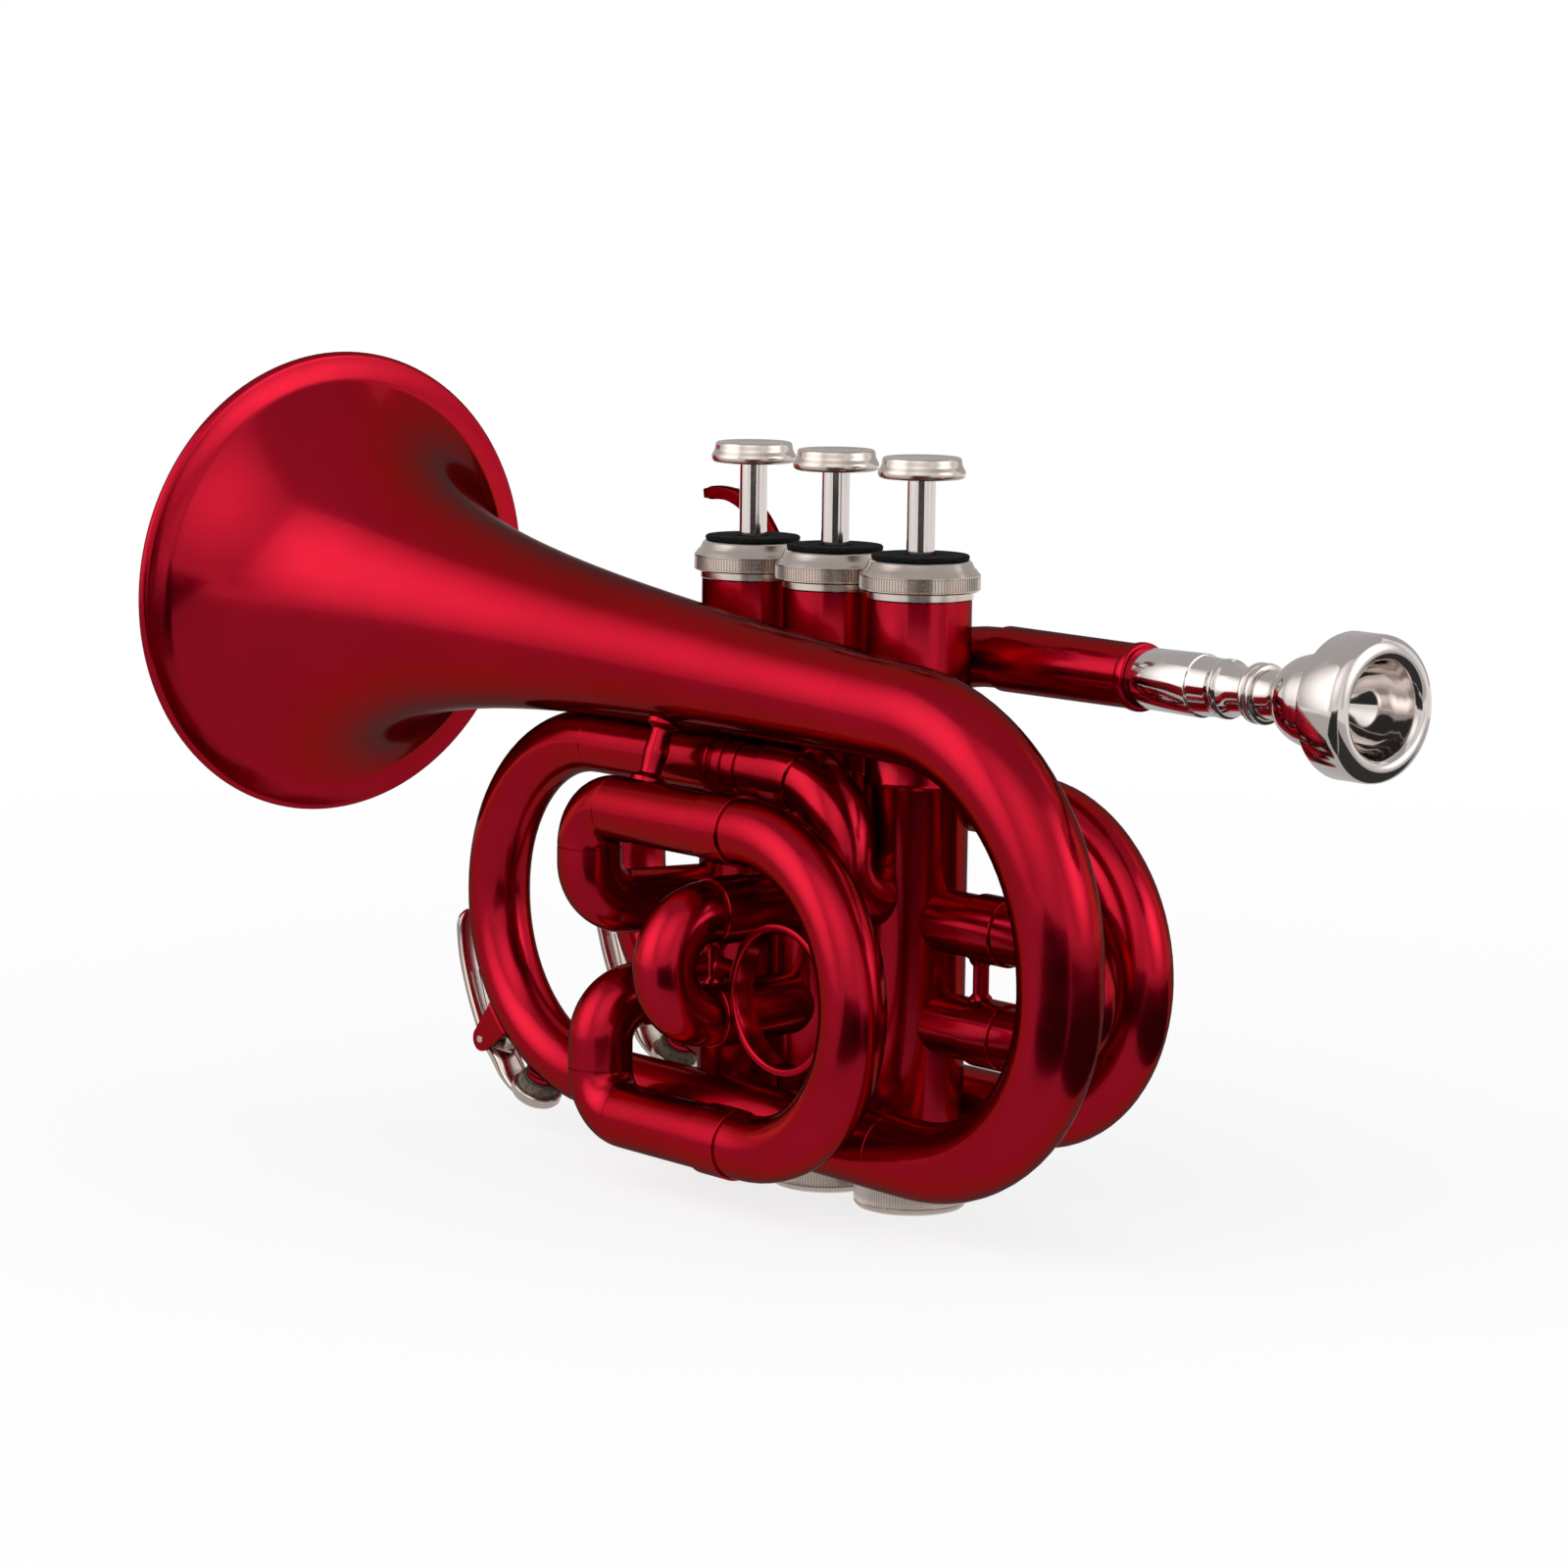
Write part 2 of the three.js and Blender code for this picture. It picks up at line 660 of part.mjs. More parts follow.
function makeCaps(valve) {
  const foot = at(valve * valvePitch, 0, 0);
  const bottomOutline = [
    [0, 0],
    [bottomCapFootRadius, 0],
    [bottomCapRadius, bottomCapFootHeight],
    [bottomCapRadius, bottomCapHeight - bottomCapFootHeight / 2],
    [bottomCapRadius - bottomCapFootHeight / 2, bottomCapHeight],
    [casingBore, bottomCapHeight],
    [casingBore, bottomCapFloor],
    [0, bottomCapFloor],
  ];
  const vents = [];
  for (let i = 0; i < ventCount; i++) {
    const angle = (2 * Math.PI * (i + ventTurnShare)) / ventCount;
    const place = at(ventCircle * Math.cos(angle), ventCircle * Math.sin(angle), -overrun).add(foot);
    vents.push(rod(ventRadius, place, axisZ, bottomCapFloor + 2 * overrun, ventSides));
  }
  const bottomCap = cut(turnedSolid(bottomOutline, turnedSides, foot, axisZ), ...vents);
  addPiece(`bottom_cap_${valve + 1}`, bottomCap, nickel);

  const skirt = at(valve * valvePitch, 0, topCapBottom);
  const shoulder = topCapBandHeight + topCapKnurlHeight;
  const topOutline = [
    [casingBore, 0],
    [topCapBandRadius, 0],
    [topCapBandRadius, topCapBandHeight],
    [topCapRadius, topCapBandHeight],
    [topCapRadius, shoulder],
    [topCapShoulderRadius, topCapShoulderHeight],
    [topCapTopRadius, topCapHeight - ferruleStep],
    [topCapTopRadius - ferruleStep, topCapHeight],
    [stemRadius + seatGap, topCapHeight],
    [stemRadius + seatGap, topCapHeight - topCapPlate],
    [casingBore, topCapHeight - topCapPlate],
  ];
  addPiece(`top_cap_${valve + 1}`, turned(topOutline, turnedSides, skirt, axisZ), nickel);

  const feltOutline = [
    [stemRadius + seatGap, 0],
    [feltRadius, 0],
    [feltRadius, feltThickness],
    [stemRadius + seatGap, feltThickness],
  ];
  const felt = turned(feltOutline, turnedSides, at(foot.x, 0, feltBottom), axisZ);
  addPiece(`cap_felt_${valve + 1}`, felt, blackFelt);
}

// The piston is a hollow cylinder, open below, crossed by three passages.
// At rest the middle passage joins its casing to the next, and the others wait above the slide's ports.
function makePiston(valve) {
  const x = valve * valvePitch;
  const shellOutline = [
    [0, pistonTop],
    [pistonRadius, pistonTop],
    [pistonRadius, pistonBottom],
    [pistonRadius - pistonWall, pistonBottom],
    [pistonRadius - pistonWall, pistonTop - pistonHead],
    [0, pistonTop - pistonHead],
  ];
  const shell = solidOf(turnedSolid(shellOutline, pistonSides, at(x, 0, 0), axisZ));
  const length = pistonTop - pistonBottom;
  const envelope = solidOf(rod(pistonRadius, at(x, 0, pistonBottom), axisZ, length, pistonSides));
  const passages = [
    [restPortLevel, axisX],
    [lowerPortLevel + valveStroke, slideWays[valve]],
    [upperPortLevel + valveStroke, slideWays[valve]],
  ];
  const across = (radius, [height, way]) => {
    const start = at(x, 0, height).addScaledVector(way, -casingRadius);
    return solidOf(rod(radius, start, way, 2 * casingRadius, passageSides));
  };
  let piston = shell;
  for (const passage of passages) {
    piston = piston.add(across(passageRadius + passageWall, passage).intersect(envelope));
  }
  for (const passage of passages) {
    piston = piston.subtract(across(passageRadius, passage));
  }
  addPiece(`piston_${valve + 1}`, geometryOf(piston), slideBrass);
}

function makeStemAndButton(valve) {
  const x = valve * valvePitch;
  const stemBottom = pistonTop + seatGap;
  const stem = rod(stemRadius, at(x, 0, stemBottom), axisZ, buttonBottom - seatGap - stemBottom);
  addPiece(`valve_stem_${valve + 1}`, stem, chrome);
  const outline = [
    [0, 0],
    [buttonRadius * buttonFootShare, 0],
    [buttonRadius, buttonFlangeHeight / 3],
    [buttonRadius, buttonFlangeHeight * 2 / 3],
    [buttonRadius * buttonWaistShare, buttonFlangeHeight + buttonDish],
    [buttonTopRadius, buttonHeight - buttonDish],
    [buttonTopRadius - buttonDish / 2, buttonHeight],
    [buttonTopRadius * buttonDishShare, buttonHeight],
    [0, buttonHeight - buttonDish],
  ];
  const button = turnedSolid(outline, turnedSides, at(x, 0, buttonBottom), axisZ);
  addPiece(`finger_button_${valve + 1}`, button, nickel);
}

// The return spring stands between the bottom cap's floor and the piston.
function makeValveSpring(valve) {
  const floor = bottomCapFloor + seatGap + springWireRadius;
  const rise = pistonBottom - seatGap - springWireRadius - floor;
  const stations = helix(at(valve * valvePitch, 0, floor), axisZ, springRadius, springTurns, rise);
  addPiece(`valve_spring_${valve + 1}`, bar(stations, springWireRadius, springSides), steel);
}

function makePortTube(valve) {
  const start = at(valve * valvePitch, 0, restPortLevel);
  const stations = route([start, start.clone().add(at(valvePitch, 0, 0))], [], bowStep);
  const shape = cut(plainTube(stations, smallSlideRadius), casingTool(valve), casingTool(valve + 1));
  addPiece(`port_tube_${valve + 1}_${valve + 2}`, shape, lacquer);
}

// Bell and near loop

function bellRadiusAt(back) {
  return bellRimRadius * (1 + back / bellFlareReach) ** -bellFlarePower;
}

const bellBack = at(-Math.cos(bellTilt), 0, -Math.sin(bellTilt));
const bellRim = at(bellRimX, bellSide, bellRimHeight);
const bellEnd = bellRim.clone().addScaledVector(bellBack, bellLength);

// How much wider the wall is across the axis than across itself, where the bell flares.
function bellWallAcross(back) {
  const slope = (bellFlarePower * bellRadiusAt(back)) / (bellFlareReach + back);
  return bellWall * Math.hypot(1, slope);
}

// The outside and inside of the bell's wall as [radius, way back from the rim] pairs.
function bellOutline(grow) {
  const backs = bellStationShares.map((share) => share * bellLength);
  const outside = backs.map((back) => [bellRadiusAt(back) + grow, back]);
  const inside = backs.map((back) => [bellRadiusAt(back) - bellWallAcross(back), back]).reverse();
  return { outside, inside };
}

// The bell follows one law of radius, with a bead rolled round the outside of its rim.
function makeBell() {
  const { outside, inside } = bellOutline(0);
  const bead = [];
  for (let i = 0; i <= beadSteps; i++) {
    const angle = (Math.PI * i) / beadSteps;
    const radius = bellRimRadius + bellBeadRadius * Math.sin(angle);
    bead.push([radius, bellBeadRadius * (1 - Math.cos(angle))]);
  }
  const outline = [...bead, ...outside.slice(1), ...inside];
  addPiece("bell", turned(outline, bellSides, bellRim, bellBack), lacquer);
}

const bellBowRoute = route(
  [
    bellEnd.clone().addScaledVector(bellBack, seatGap),
    bellRim.clone().addScaledVector(bellBack, (bellRimX - bellBowRear) / Math.cos(bellTilt)),
    at(bellBowRear, bellBowEndSide, nearBottomHeight),
    at(bellBowEndX, bellBowEndSide, nearBottomHeight),
  ],
  [bellBowBend, bellBowBend],
  bowStep,
);

function makeBellBow() {
  const total = routeLength(bellBowRoute);
  const start = bellRadiusAt(bellLength);
  const radii = [start, bellBowMiddleRadius, bellBowEndRadius];
  const profile = (wall) => radii.map((radius, i) => [(total * i) / 2, radius - wall]);
  addPiece("bell_bow", tube(bellBowRoute, profile(0), profile(tubeWall)), lacquer);
}

const nearBend = (nearTopHeight - nearBottomHeight) / 2;
const nearBowX = nearFrontX - nearBend;

function makeNearLoop() {
  const bottomRun = route(
    [at(bellBowEndX + seatGap, bellBowEndSide, nearBottomHeight), at(nearBowX, nearSide, nearBottomHeight)],
    [],
    bowStep,
  );
  const total = routeLength(bottomRun);
  const taper = (wall) => [[0, bellBowEndRadius - wall], [total, loopRadius - wall]];
  addPiece("near_bottom_run", tube(bottomRun, taper(0), taper(tubeWall)), lacquer);

  const topEnds = [at(nearBowX, nearSide, nearTopHeight), at(nearTopEndX, nearSide, nearTopHeight)];
  const topRun = route(topEnds, [], bowStep);
  const rings = [];
  for (let i = 2; i >= 0; i--) {
    const way = nearBowX - nearFerruleX - i * nearFerrulePitch - nearFerruleRing / 2;
    const wayOut = way + nearFerruleRing;
    const raised = loopRadius + ferruleStep;
    rings.push([way, loopRadius], [way, raised], [wayOut, raised], [wayOut, loopRadius]);
  }
  const runLength = routeLength(topRun);
  const bore = loopRadius - tubeWall;
  const outer = [[0, loopRadius], ...rings, [runLength, loopRadius]];
  addPiece("near_top_run", tube(topRun, outer, [[0, bore], [runLength, bore]]), lacquer);

  const branch = route(
    [
      at(nearTopEndX - seatGap, nearSide, nearTopHeight),
      at(valve1BranchX, nearSide, nearTopHeight),
      at(valve1BranchX, nearSide, valve1PortHeight),
      at(valve1BranchX, 0, valve1PortHeight),
    ],
    [valve1BranchBend, tightBend],
    elbowStep,
  );
  addPiece("valve_1_branch", cut(plainTube(branch, loopRadius, { start: true }), casingTool(0)), lacquer);
}

// A water key's place on a bow: the bow's centre, its radius and the plane that it lies in.
const nearKeySeat = { centre: at(nearBowX, nearSide, nearBottomHeight + nearBend), bend: nearBend };
const farBend = (farTopHeight - farBottomHeight) / 2;
const farBowX = farFrontX - farBend;
const farKeySeat = { centre: at(farBowX, farSide, farBottomHeight + farBend), bend: farBend };

// A place given by its turn below the bow's front and its height over the bow's outer surface.
function seatPlace(seat, turn, height) {
  const reach = seat.bend + loopRadius + height;
  return seat.centre.clone().add(at(reach * Math.cos(turn), 0, -reach * Math.sin(turn)));
}

function seatWay(turn) {
  return at(Math.cos(turn), 0, -Math.sin(turn));
}

// The bow with the short spout that the water key's cork closes.
function withSpout(shape, seat) {
  const way = seatWay(spoutTurn);
  const root = seatPlace(seat, spoutTurn, -spoutRise);
  const spout = rod(spoutRadius, root, way, 2 * spoutRise);
  const drillRoot = seatPlace(seat, spoutTurn, -loopRadius);
  const drilled = rod(spoutBoreRadius, drillRoot, way, loopRadius + spoutRise + overrun, ventSides);
  return cut(joined(shape, spout), drilled);
}

function makeNearFrontBow() {
  const bow = route(
    [
      at(nearBowX + seatGap, nearSide, nearBottomHeight),
      at(nearFrontX, nearSide, nearBottomHeight),
      at(nearFrontX, nearSide, nearTopHeight),
      at(nearBowX + seatGap, nearSide, nearTopHeight),
    ],
    [nearBend - seatGap, nearBend - seatGap],
    bowStep,
  );
  addPiece("near_front_bow", withSpout(plainTube(bow, loopRadius), nearKeySeat), lacquer);
}

// Leadpipe and far loop

function makeLeadpipe() {
  const line = (x) => at(x, farSide, leadpipeHeight);
  const receiver = route([line(receiverEndX), line(receiverJointX)], [], bowStep);
  const length = routeLength(receiver);
  const mouth = mouthpieceRimRadius * shankMouthShare + seatGap;
  const seat = mouthpieceRimRadius * shankTipShare + seatGap;
  const receiverShape = tube(
    receiver,
    [
      [0, receiverCollarRadius],
      [receiverCollarLength, receiverCollarRadius],
      [receiverCollarLength, receiverRadius],
      [length, receiverRadius],
    ],
    [[0, mouth], [mouthpieceShankLength, seat], [length, seat]],
    turnedSides,
  );
  addPiece("mouthpiece_receiver", receiverShape, lacquer);

  const pipe = route(
    [
      line(receiverJointX + seatGap),
      line(leadpipeDropStartX),
      at(leadpipeDropEndX, farSide, farTopHeight),
      at(sleeveEndX, farSide, farTopHeight),
    ],
    [leadpipeBend, leadpipeBend],
    leadpipeStep,
  );
  const total = routeLength(pipe);
  const sleeve = total - (sleeveEndX - sleeveStartX);
  const narrow = leadpipeRadius - tubeWall;
  const wide = loopRadius - tubeWall;
  const pipeShape = tube(
    pipe,
    [[0, leadpipeRadius], [sleeve, leadpipeRadius], [sleeve, loopRadius], [total, loopRadius]],
    [[0, narrow], [sleeve + seatGap, narrow], [sleeve + seatGap, wide], [total, wide]],
  );
  addPiece("leadpipe", pipeShape, lacquer);
}

const farRearBend = (farRearTopHeight - farBottomHeight) / 2;
const farRearEndX = farRearX + farRearBend;

function makeFarLoop() {
  const bottomLine = (x) => at(x, farSide, farBottomHeight);
  const bottomRun = route([bottomLine(sleeveEndX), bottomLine(farRearEndX + seatGap)], [], bowStep);
  addPiece("far_bottom_run", plainTube(bottomRun, loopRadius, { start: true }), lacquer);

  const rearBow = route(
    [
      bottomLine(farRearEndX),
      bottomLine(farRearX),
      at(farRearX, farSide, farRearTopHeight),
      at(farRearEndX, farSide, farRearTopHeight),
    ],
    [farRearBend, farRearBend],
    bowStep,
  );
  addPiece("far_rear_bow", plainTube(rearBow, loopRadius), lacquer);

  const entry = route(
    [
      at(farRearEndX + seatGap, farSide, farRearTopHeight),
      at(valve3EntryX, farSide, farRearTopHeight),
      at(valve3EntryX, 0, farRearTopHeight),
    ],
    [tightBend],
    elbowStep,
  );
  addPiece("valve_3_branch", cut(plainTube(entry, loopRadius, { start: true }), casingTool(2)), lacquer);
}

function makeMainSlide() {
  const start = sleeveEndX + seatGap - mainSlideLeg;
  const bow = route(
    [
      at(start, farSide, farTopHeight),
      at(farFrontX, farSide, farTopHeight),
      at(farFrontX, farSide, farBottomHeight),
      at(start, farSide, farBottomHeight),
    ],
    [farBend, farBend],
    bowStep,
  );
  addPiece("main_tuning_slide", withSpout(crook(bow, loopRadius, mainSlideLeg), farKeySeat), lacquer);
}

// Mouthpiece, as one turned piece with a rim, cup, throat and backbore

function makeMouthpiece() {
  const outline = mouthpieceShares.map(([along, across]) => [
    across * mouthpieceRimRadius,
    along * (along < 0 ? mouthpieceShankLength : mouthpieceOuterLength),
  ]);
  const origin = at(receiverEndX - seatGap, farSide, leadpipeHeight);
  addPiece("mouthpiece", turned(outline, mouthpieceSides, origin, at(-1, 0, 0)), nickel);
}

// Slides of the three valves

// The two outer tubes of a small slide, held together by one short brace, and its crook.
function makeSmallSlide(names, valve, originX, tubeReach, bowReach, braceReach) {
  const origin = at(originX, 0, 0);
  const place = (reach, height) => origin.clone().addScaledVector(slideWays[valve], reach).setZ(height);
  const tubes = [upperPortLevel, lowerPortLevel].map((height) => {
    const stations = route([place(casingBore, height), place(tubeReach, height)], [], bowStep);
    return plainTube(stations, smallSlideRadius, { end: true });
  });
  const rail = smallSlideRadius - tubeWall / 2;
  const braceFoot = place(braceReach, lowerPortLevel + rail);
  const brace = rod(ringPostRadius, braceFoot, axisZ, upperPortLevel - lowerPortLevel - 2 * rail);
  addPiece(names[0], cut(joined(...tubes, brace), casingTool(valve)), lacquer);

  const crookStart = tubeReach + seatGap - smallSlideLeg;
  const bowEnd = bowReach + portBend;
  const bow = route(
    [
      place(crookStart, upperPortLevel),
      place(bowEnd, upperPortLevel),
      place(bowEnd, lowerPortLevel),
      place(crookStart, lowerPortLevel),
    ],
    [portBend, portBend],
    elbowStep,
  );
  addPiece(names[1], crook(bow, smallSlideRadius, smallSlideLeg), lacquer);
}

function makeFirstAndSecondSlides() {
  const firstNames = ["first_slide_tubes", "first_valve_slide"];
  makeSmallSlide(firstNames, 0, 0, firstTubeReach, firstBowReach, firstTubeReach - ferruleLength);
  const secondNames = ["second_slide_tubes", "second_valve_slide"];
  makeSmallSlide(secondNames, 1, secondSlideX, secondTubeReach, secondBowReach, ringStemSide);
}

function makeThirdSlide() {
  const jointX = thirdJointX + seatGap;
  const upper = route(
    [
      at(jointX, thirdSide, thirdTopHeight),
      at(thirdUpperTurnX, thirdSide, thirdTopHeight),
      at(thirdUpperTurnX, thirdSide, thirdUpperCrossHeight),
      at(thirdPortX, 0, thirdUpperCrossHeight),
    ],
    [elbowBend, elbowBend],
    elbowStep,
  );
  const upperShape = plainTube(upper, loopRadius, { start: true });
  addPiece("third_slide_upper_tube", cut(upperShape, casingTool(2)), lacquer);
  const lower = route(
    [
      at(jointX, thirdSide, thirdBottomHeight),
      at(thirdLowerTurnX, thirdSide, thirdBottomHeight),
      at(thirdLowerTurnX, thirdSide, thirdLowerCrossHeight),
      at(thirdPortX, 0, thirdLowerCrossHeight),
    ],
    [elbowBend, elbowBend],
    elbowStep,
  );
  const lowerShape = plainTube(lower, loopRadius, { start: true });
  addPiece("third_slide_lower_tube", cut(lowerShape, casingTool(2)), lacquer);

  const legEnd = thirdJointX + thirdSlideLeg;
  const bend = (thirdTopHeight - thirdBottomHeight) / 2;
  const bow = route(
    [
      at(legEnd, thirdSide, thirdTopHeight),
      at(thirdCrookRear, thirdSide, thirdTopHeight),
      at(thirdCrookRear, thirdSide, thirdBottomHeight),
      at(legEnd, thirdSide, thirdBottomHeight),
    ],
    [bend, bend],
    bowStep,
  );
  addPiece("third_valve_slide", crook(bow, loopRadius, thirdSlideLeg), lacquer);
}

// Fittings

// The finger ring is a rounded band on a stem that reaches the brace of the second slide's tubes.
function makeFingerRing() {
  const middle = ringRadius - ringWall / 2;
  const outline = [];
  for (let i = 0; i < ringSectionSides; i++) {
    const angle = (2 * Math.PI * (i + 0.5)) / ringSectionSides;
    const fullness = 1 / Math.cos(Math.PI / ringSectionSides);
    const across = (fullness * ringWall * Math.cos(angle)) / 2;
    outline.push([middle + across, (fullness * ringWidth * Math.sin(angle)) / 2]);
  }
  const side = ringNearSide - ringWidth / 2;
  const band = turned(outline, ringSides, at(ringX, side, ringHeight), axisY);
  const stemStart = ringX + middle;
  const stemEnd = secondSlideX - ringPostRadius - seatGap;
  const stemPoints = [
    [0, 0],
    [ringPostRadius, 0],
    [ringConeRadius, stemEnd - stemStart - ringWall],
    [ringConeRadius, stemEnd - stemStart],
    [0, stemEnd - stemStart],
  ];
  const stem = turnedSolid(stemPoints, tubeSides, at(stemStart, ringStemSide, ringStemHeight), axisX);
  const clearance = rod(middle, at(ringX, side - ringWidth, ringHeight), axisY, 2 * ringWidth, ringSides);
  addPiece("third_finger_ring", joined(band, cut(stem, clearance)), lacquer);
}

// The little-finger hook is a flat band that rises from a saddle on the leadpipe and bends forward.
function makeHook() {
  const top = farTopHeight + loopRadius + seatGap;
  const spine = new THREE.CatmullRomCurve3(
    hookShares.map(([along, up]) => at(hookX + along * hookReach, farSide, top + up * hookRise)),
  );
  const outer = [];
  const inner = [];
  for (let i = 0; i <= hookSteps; i++) {
    const place = spine.getPoint(i / hookSteps);
    const along = spine.getTangent(i / hookSteps);
    const half = (hookThickness / 2) * (1 - hookTaperShare * (i / hookSteps));
    outer.push(new THREE.Vector2(place.x - along.z * half, place.z + along.x * half));
    inner.unshift(new THREE.Vector2(place.x + along.z * half, place.z - along.x * half));
  }
  const band = upright([...outer, ...inner], farSide, hookWidth);
  const footPlace = at(hookX, farSide, top - hookFootThickness);
  const foot = rod(hookFootRadius, footPlace, axisZ, 2 * hookFootThickness, turnedSides);
  const pipeLine = at(hookX - hookReach, farSide, farTopHeight);
  const pipe = rod(loopRadius + seatGap, pipeLine, axisX, 2 * hookReach, turnedSides);
  addPiece("little_finger_hook", cut(joined(band, foot), pipe), lacquer);
}

// A plate of a given width from an outline in a plane of constant Y.
function upright(points, side, width) {
  const plate = new THREE.ExtrudeGeometry(new THREE.Shape(points), { depth: width, bevelEnabled: false });
  return plate.rotateX(Math.PI / 2).translate(0, side + width / 2, 0);
}

// The brace between the bell and the third slide's upper tube is a turned spindle with two saddle feet.
function makeBellBrace() {
  const bellPlace = bellRim.clone().addScaledVector(bellBack, (bellRimX - braceX) / Math.cos(bellTilt));
  const tubePlace = at(braceX, thirdSide, thirdTopHeight);
  const way = tubePlace.clone().sub(bellPlace);
  const length = way.length();
  way.normalize();
  const bellFace = bellRadiusAt((bellRimX - braceX) / Math.cos(bellTilt));
  const from = bellFace - ferruleStep;
  const to = length - loopRadius + ferruleStep * 2;
  const middle = (from + to) / 2;
  const outline = [
    [0, from],
    [braceFootRadius, from],
    [braceFootRadius, from + braceFootThickness],
    [braceRadius * braceWaistShare, from + braceFootThickness + ferruleStep],
    [braceRadius, middle - ferruleStep],
    [braceRadius, middle + ferruleStep],
    [braceRadius * braceWaistShare, to - braceFootThickness * 2 - ferruleStep],
    [braceFootRadius, to - braceFootThickness * 2],
    [braceFootRadius, to],
    [0, to],
  ];
  const spindle = turnedSolid(outline, turnedSides, bellPlace, way);
  const { outside } = bellOutline(seatGap);
  const bellTool = turnedSolid([[0, 0], ...outside, [0, bellLength]], bellSides, bellRim, bellBack);
  const tubeLine = at(braceX - overrun, thirdSide, thirdTopHeight);
  const tubeTool = rod(loopRadius + seatGap, tubeLine, axisX, 2 * overrun, turnedSides);
  addPiece("bell_brace", cut(spindle, bellTool, tubeTool), lacquer);
}

// Water keys

// The solid that a bow fills, grown by the seat gap, to cut what sits on it.
function bowTool(seat) {
  const { centre, bend } = seat;
  const stations = route(
    [
      centre.clone().add(at(0, 0, -bend)),
      centre.clone().add(at(bend, 0, -bend)),
      centre.clone().add(at(bend, 0, bend)),
      centre.clone().add(at(0, 0, bend)),
    ],
    [bend, bend],
    bowStep,
  );
  return bar(stations, loopRadius + seatGap);
}

// A plate on a bow, from corners given as [turn, height over the bow].
function seatPlate(seat, corners, shift, width) {
  const outline = corners.map(([turn, height]) => {
    const place = seatPlace(seat, turn, height);
    return new THREE.Vector2(place.x, place.z);
  });
  return upright(outline, seat.centre.y + shift, width);
}

// The lever rocks on a pin between two ears, with its cork in a cup over the spout.
// Beside its barrel it is hollowed for the spring's coil.
function makeKeyLever(name, seat, pivot) {
  const outer = [];
  const inner = [];
  for (const [degrees, rise, thickness] of keySpineShares) {
    const turn = THREE.MathUtils.degToRad(degrees);
    outer.push([turn, rise * keyStandoff]);
    inner.unshift([turn, rise * keyStandoff - thickness * keyThickness]);
  }
  const strip = seatPlate(seat, [...outer, ...inner], 0, keyWidth);
  const coilStart = pivot.clone().add(at(0, keyBarrelLength - keyWidth / 2, 0));
  const coilRoom = rod(keyCoilRadius + keyWireRadius + seatGap, coilStart, axisY, keyWidth);
  const way = seatWay(spoutTurn);
  const corkFace = spoutRise + seatGap;
  const cupFace = corkFace + corkThickness * corkHoldShare;
  const cupFloor = corkFace + corkThickness + seatGap;
  const cupRadius = corkRadius + seatGap + corkCupWall;
  const cupDepth = cupFloor + keyThickness - cupFace;
  const cup = rod(cupRadius, seatPlace(seat, spoutTurn, cupFace), way, cupDepth, turnedSides);
  const recess = rod(corkRadius + seatGap, seatPlace(seat, spoutTurn, 0), way, cupFloor, turnedSides);
  const barrel = rod(keyBarrelRadius, pivot.clone().add(at(0, -keyWidth / 2, 0)), axisY, keyBarrelLength);
  const bore = rod(keyPinRadius + seatGap, pivot.clone().add(at(0, -keyWidth, 0)), axisY, 2 * keyWidth);
  addPiece(`${name}_lever`, cut(joined(cut(strip, coilRoom), cup, barrel), recess, bore), nickel);

  const corkShape = rod(corkRadius, seatPlace(seat, spoutTurn, corkFace), way, corkThickness, turnedSides);
  addPiece(`${name}_cork`, corkShape, cork);
}

function makeKeySaddle(name, seat, pivot) {
  const inside = keyWidth / 2 + seatGap;
  const sunk = -loopRadius / 2;
  const ears = [inside, -inside - keyEarThickness].map((shift) => {
    const boss = rod(keyEarRadius, pivot.clone().add(at(0, shift, 0)), axisY, keyEarThickness);
    const post = seatPlate(seat, [
      [keyPivotTurn - keyEarBaseTurn, sunk],
      [keyPivotTurn - keyEarTopTurn, keyPivotStandoff],
      [keyPivotTurn + keyEarTopTurn, keyPivotStandoff],
      [keyPivotTurn + keyEarBaseTurn, sunk],
    ], shift + keyEarThickness / 2, keyEarThickness);
    return joined(boss, post);
  });
  const foot = seatPlate(seat, [
    [keyPivotTurn - keyFootTurn, sunk],
    [keyPivotTurn - keyFootTurn, keyFootHeight],
    [keyPivotTurn + keyFootTurn, keyFootHeight],
    [keyPivotTurn + keyFootTurn, sunk],
  ], 0, 2 * (inside + keyEarThickness));
  const pinReach = inside + keyEarThickness + keyPinShow;
  const pin = rod(keyPinRadius, pivot.clone().add(at(0, -pinReach, 0)), axisY, 2 * pinReach);
  const saddle = joined(foot, ears[0], ears[1], pin);
  addPiece(`${name}_saddle`, cut(saddle, bowTool(seat)), lacquer);
}

// The wire spring is wound round the pin beside the barrel, with one arm under the lever and one on the bow.
function makeKeySpring(name, seat, pivot) {
  const side = -keyWidth / 2 + keyBarrelLength + seatGap + keyWireRadius;
  const rise = keyWidth / 2 - keyWireRadius - side;
  const coil = helix(pivot.clone().add(at(0, side, 0)), axisY, keyCoilRadius, keyCoilTurns, rise);
  const clear = seatGap + keyWireRadius;
  const armHeight = keyArmHeightShare * keyStandoff - keyThickness - clear;
  const underLever = seatPlace(seat, keyArmTurn, armHeight).add(at(0, side, 0));
  const overBow = seatPlace(seat, keyTailTurn, 2 * clear).add(at(0, side + rise, 0));
  const places = [underLever, ...coil.map((station) => station.place), overBow];
  addPiece(`${name}_spring`, bar(throughPlaces(places), keyWireRadius, springSides), steel);
}

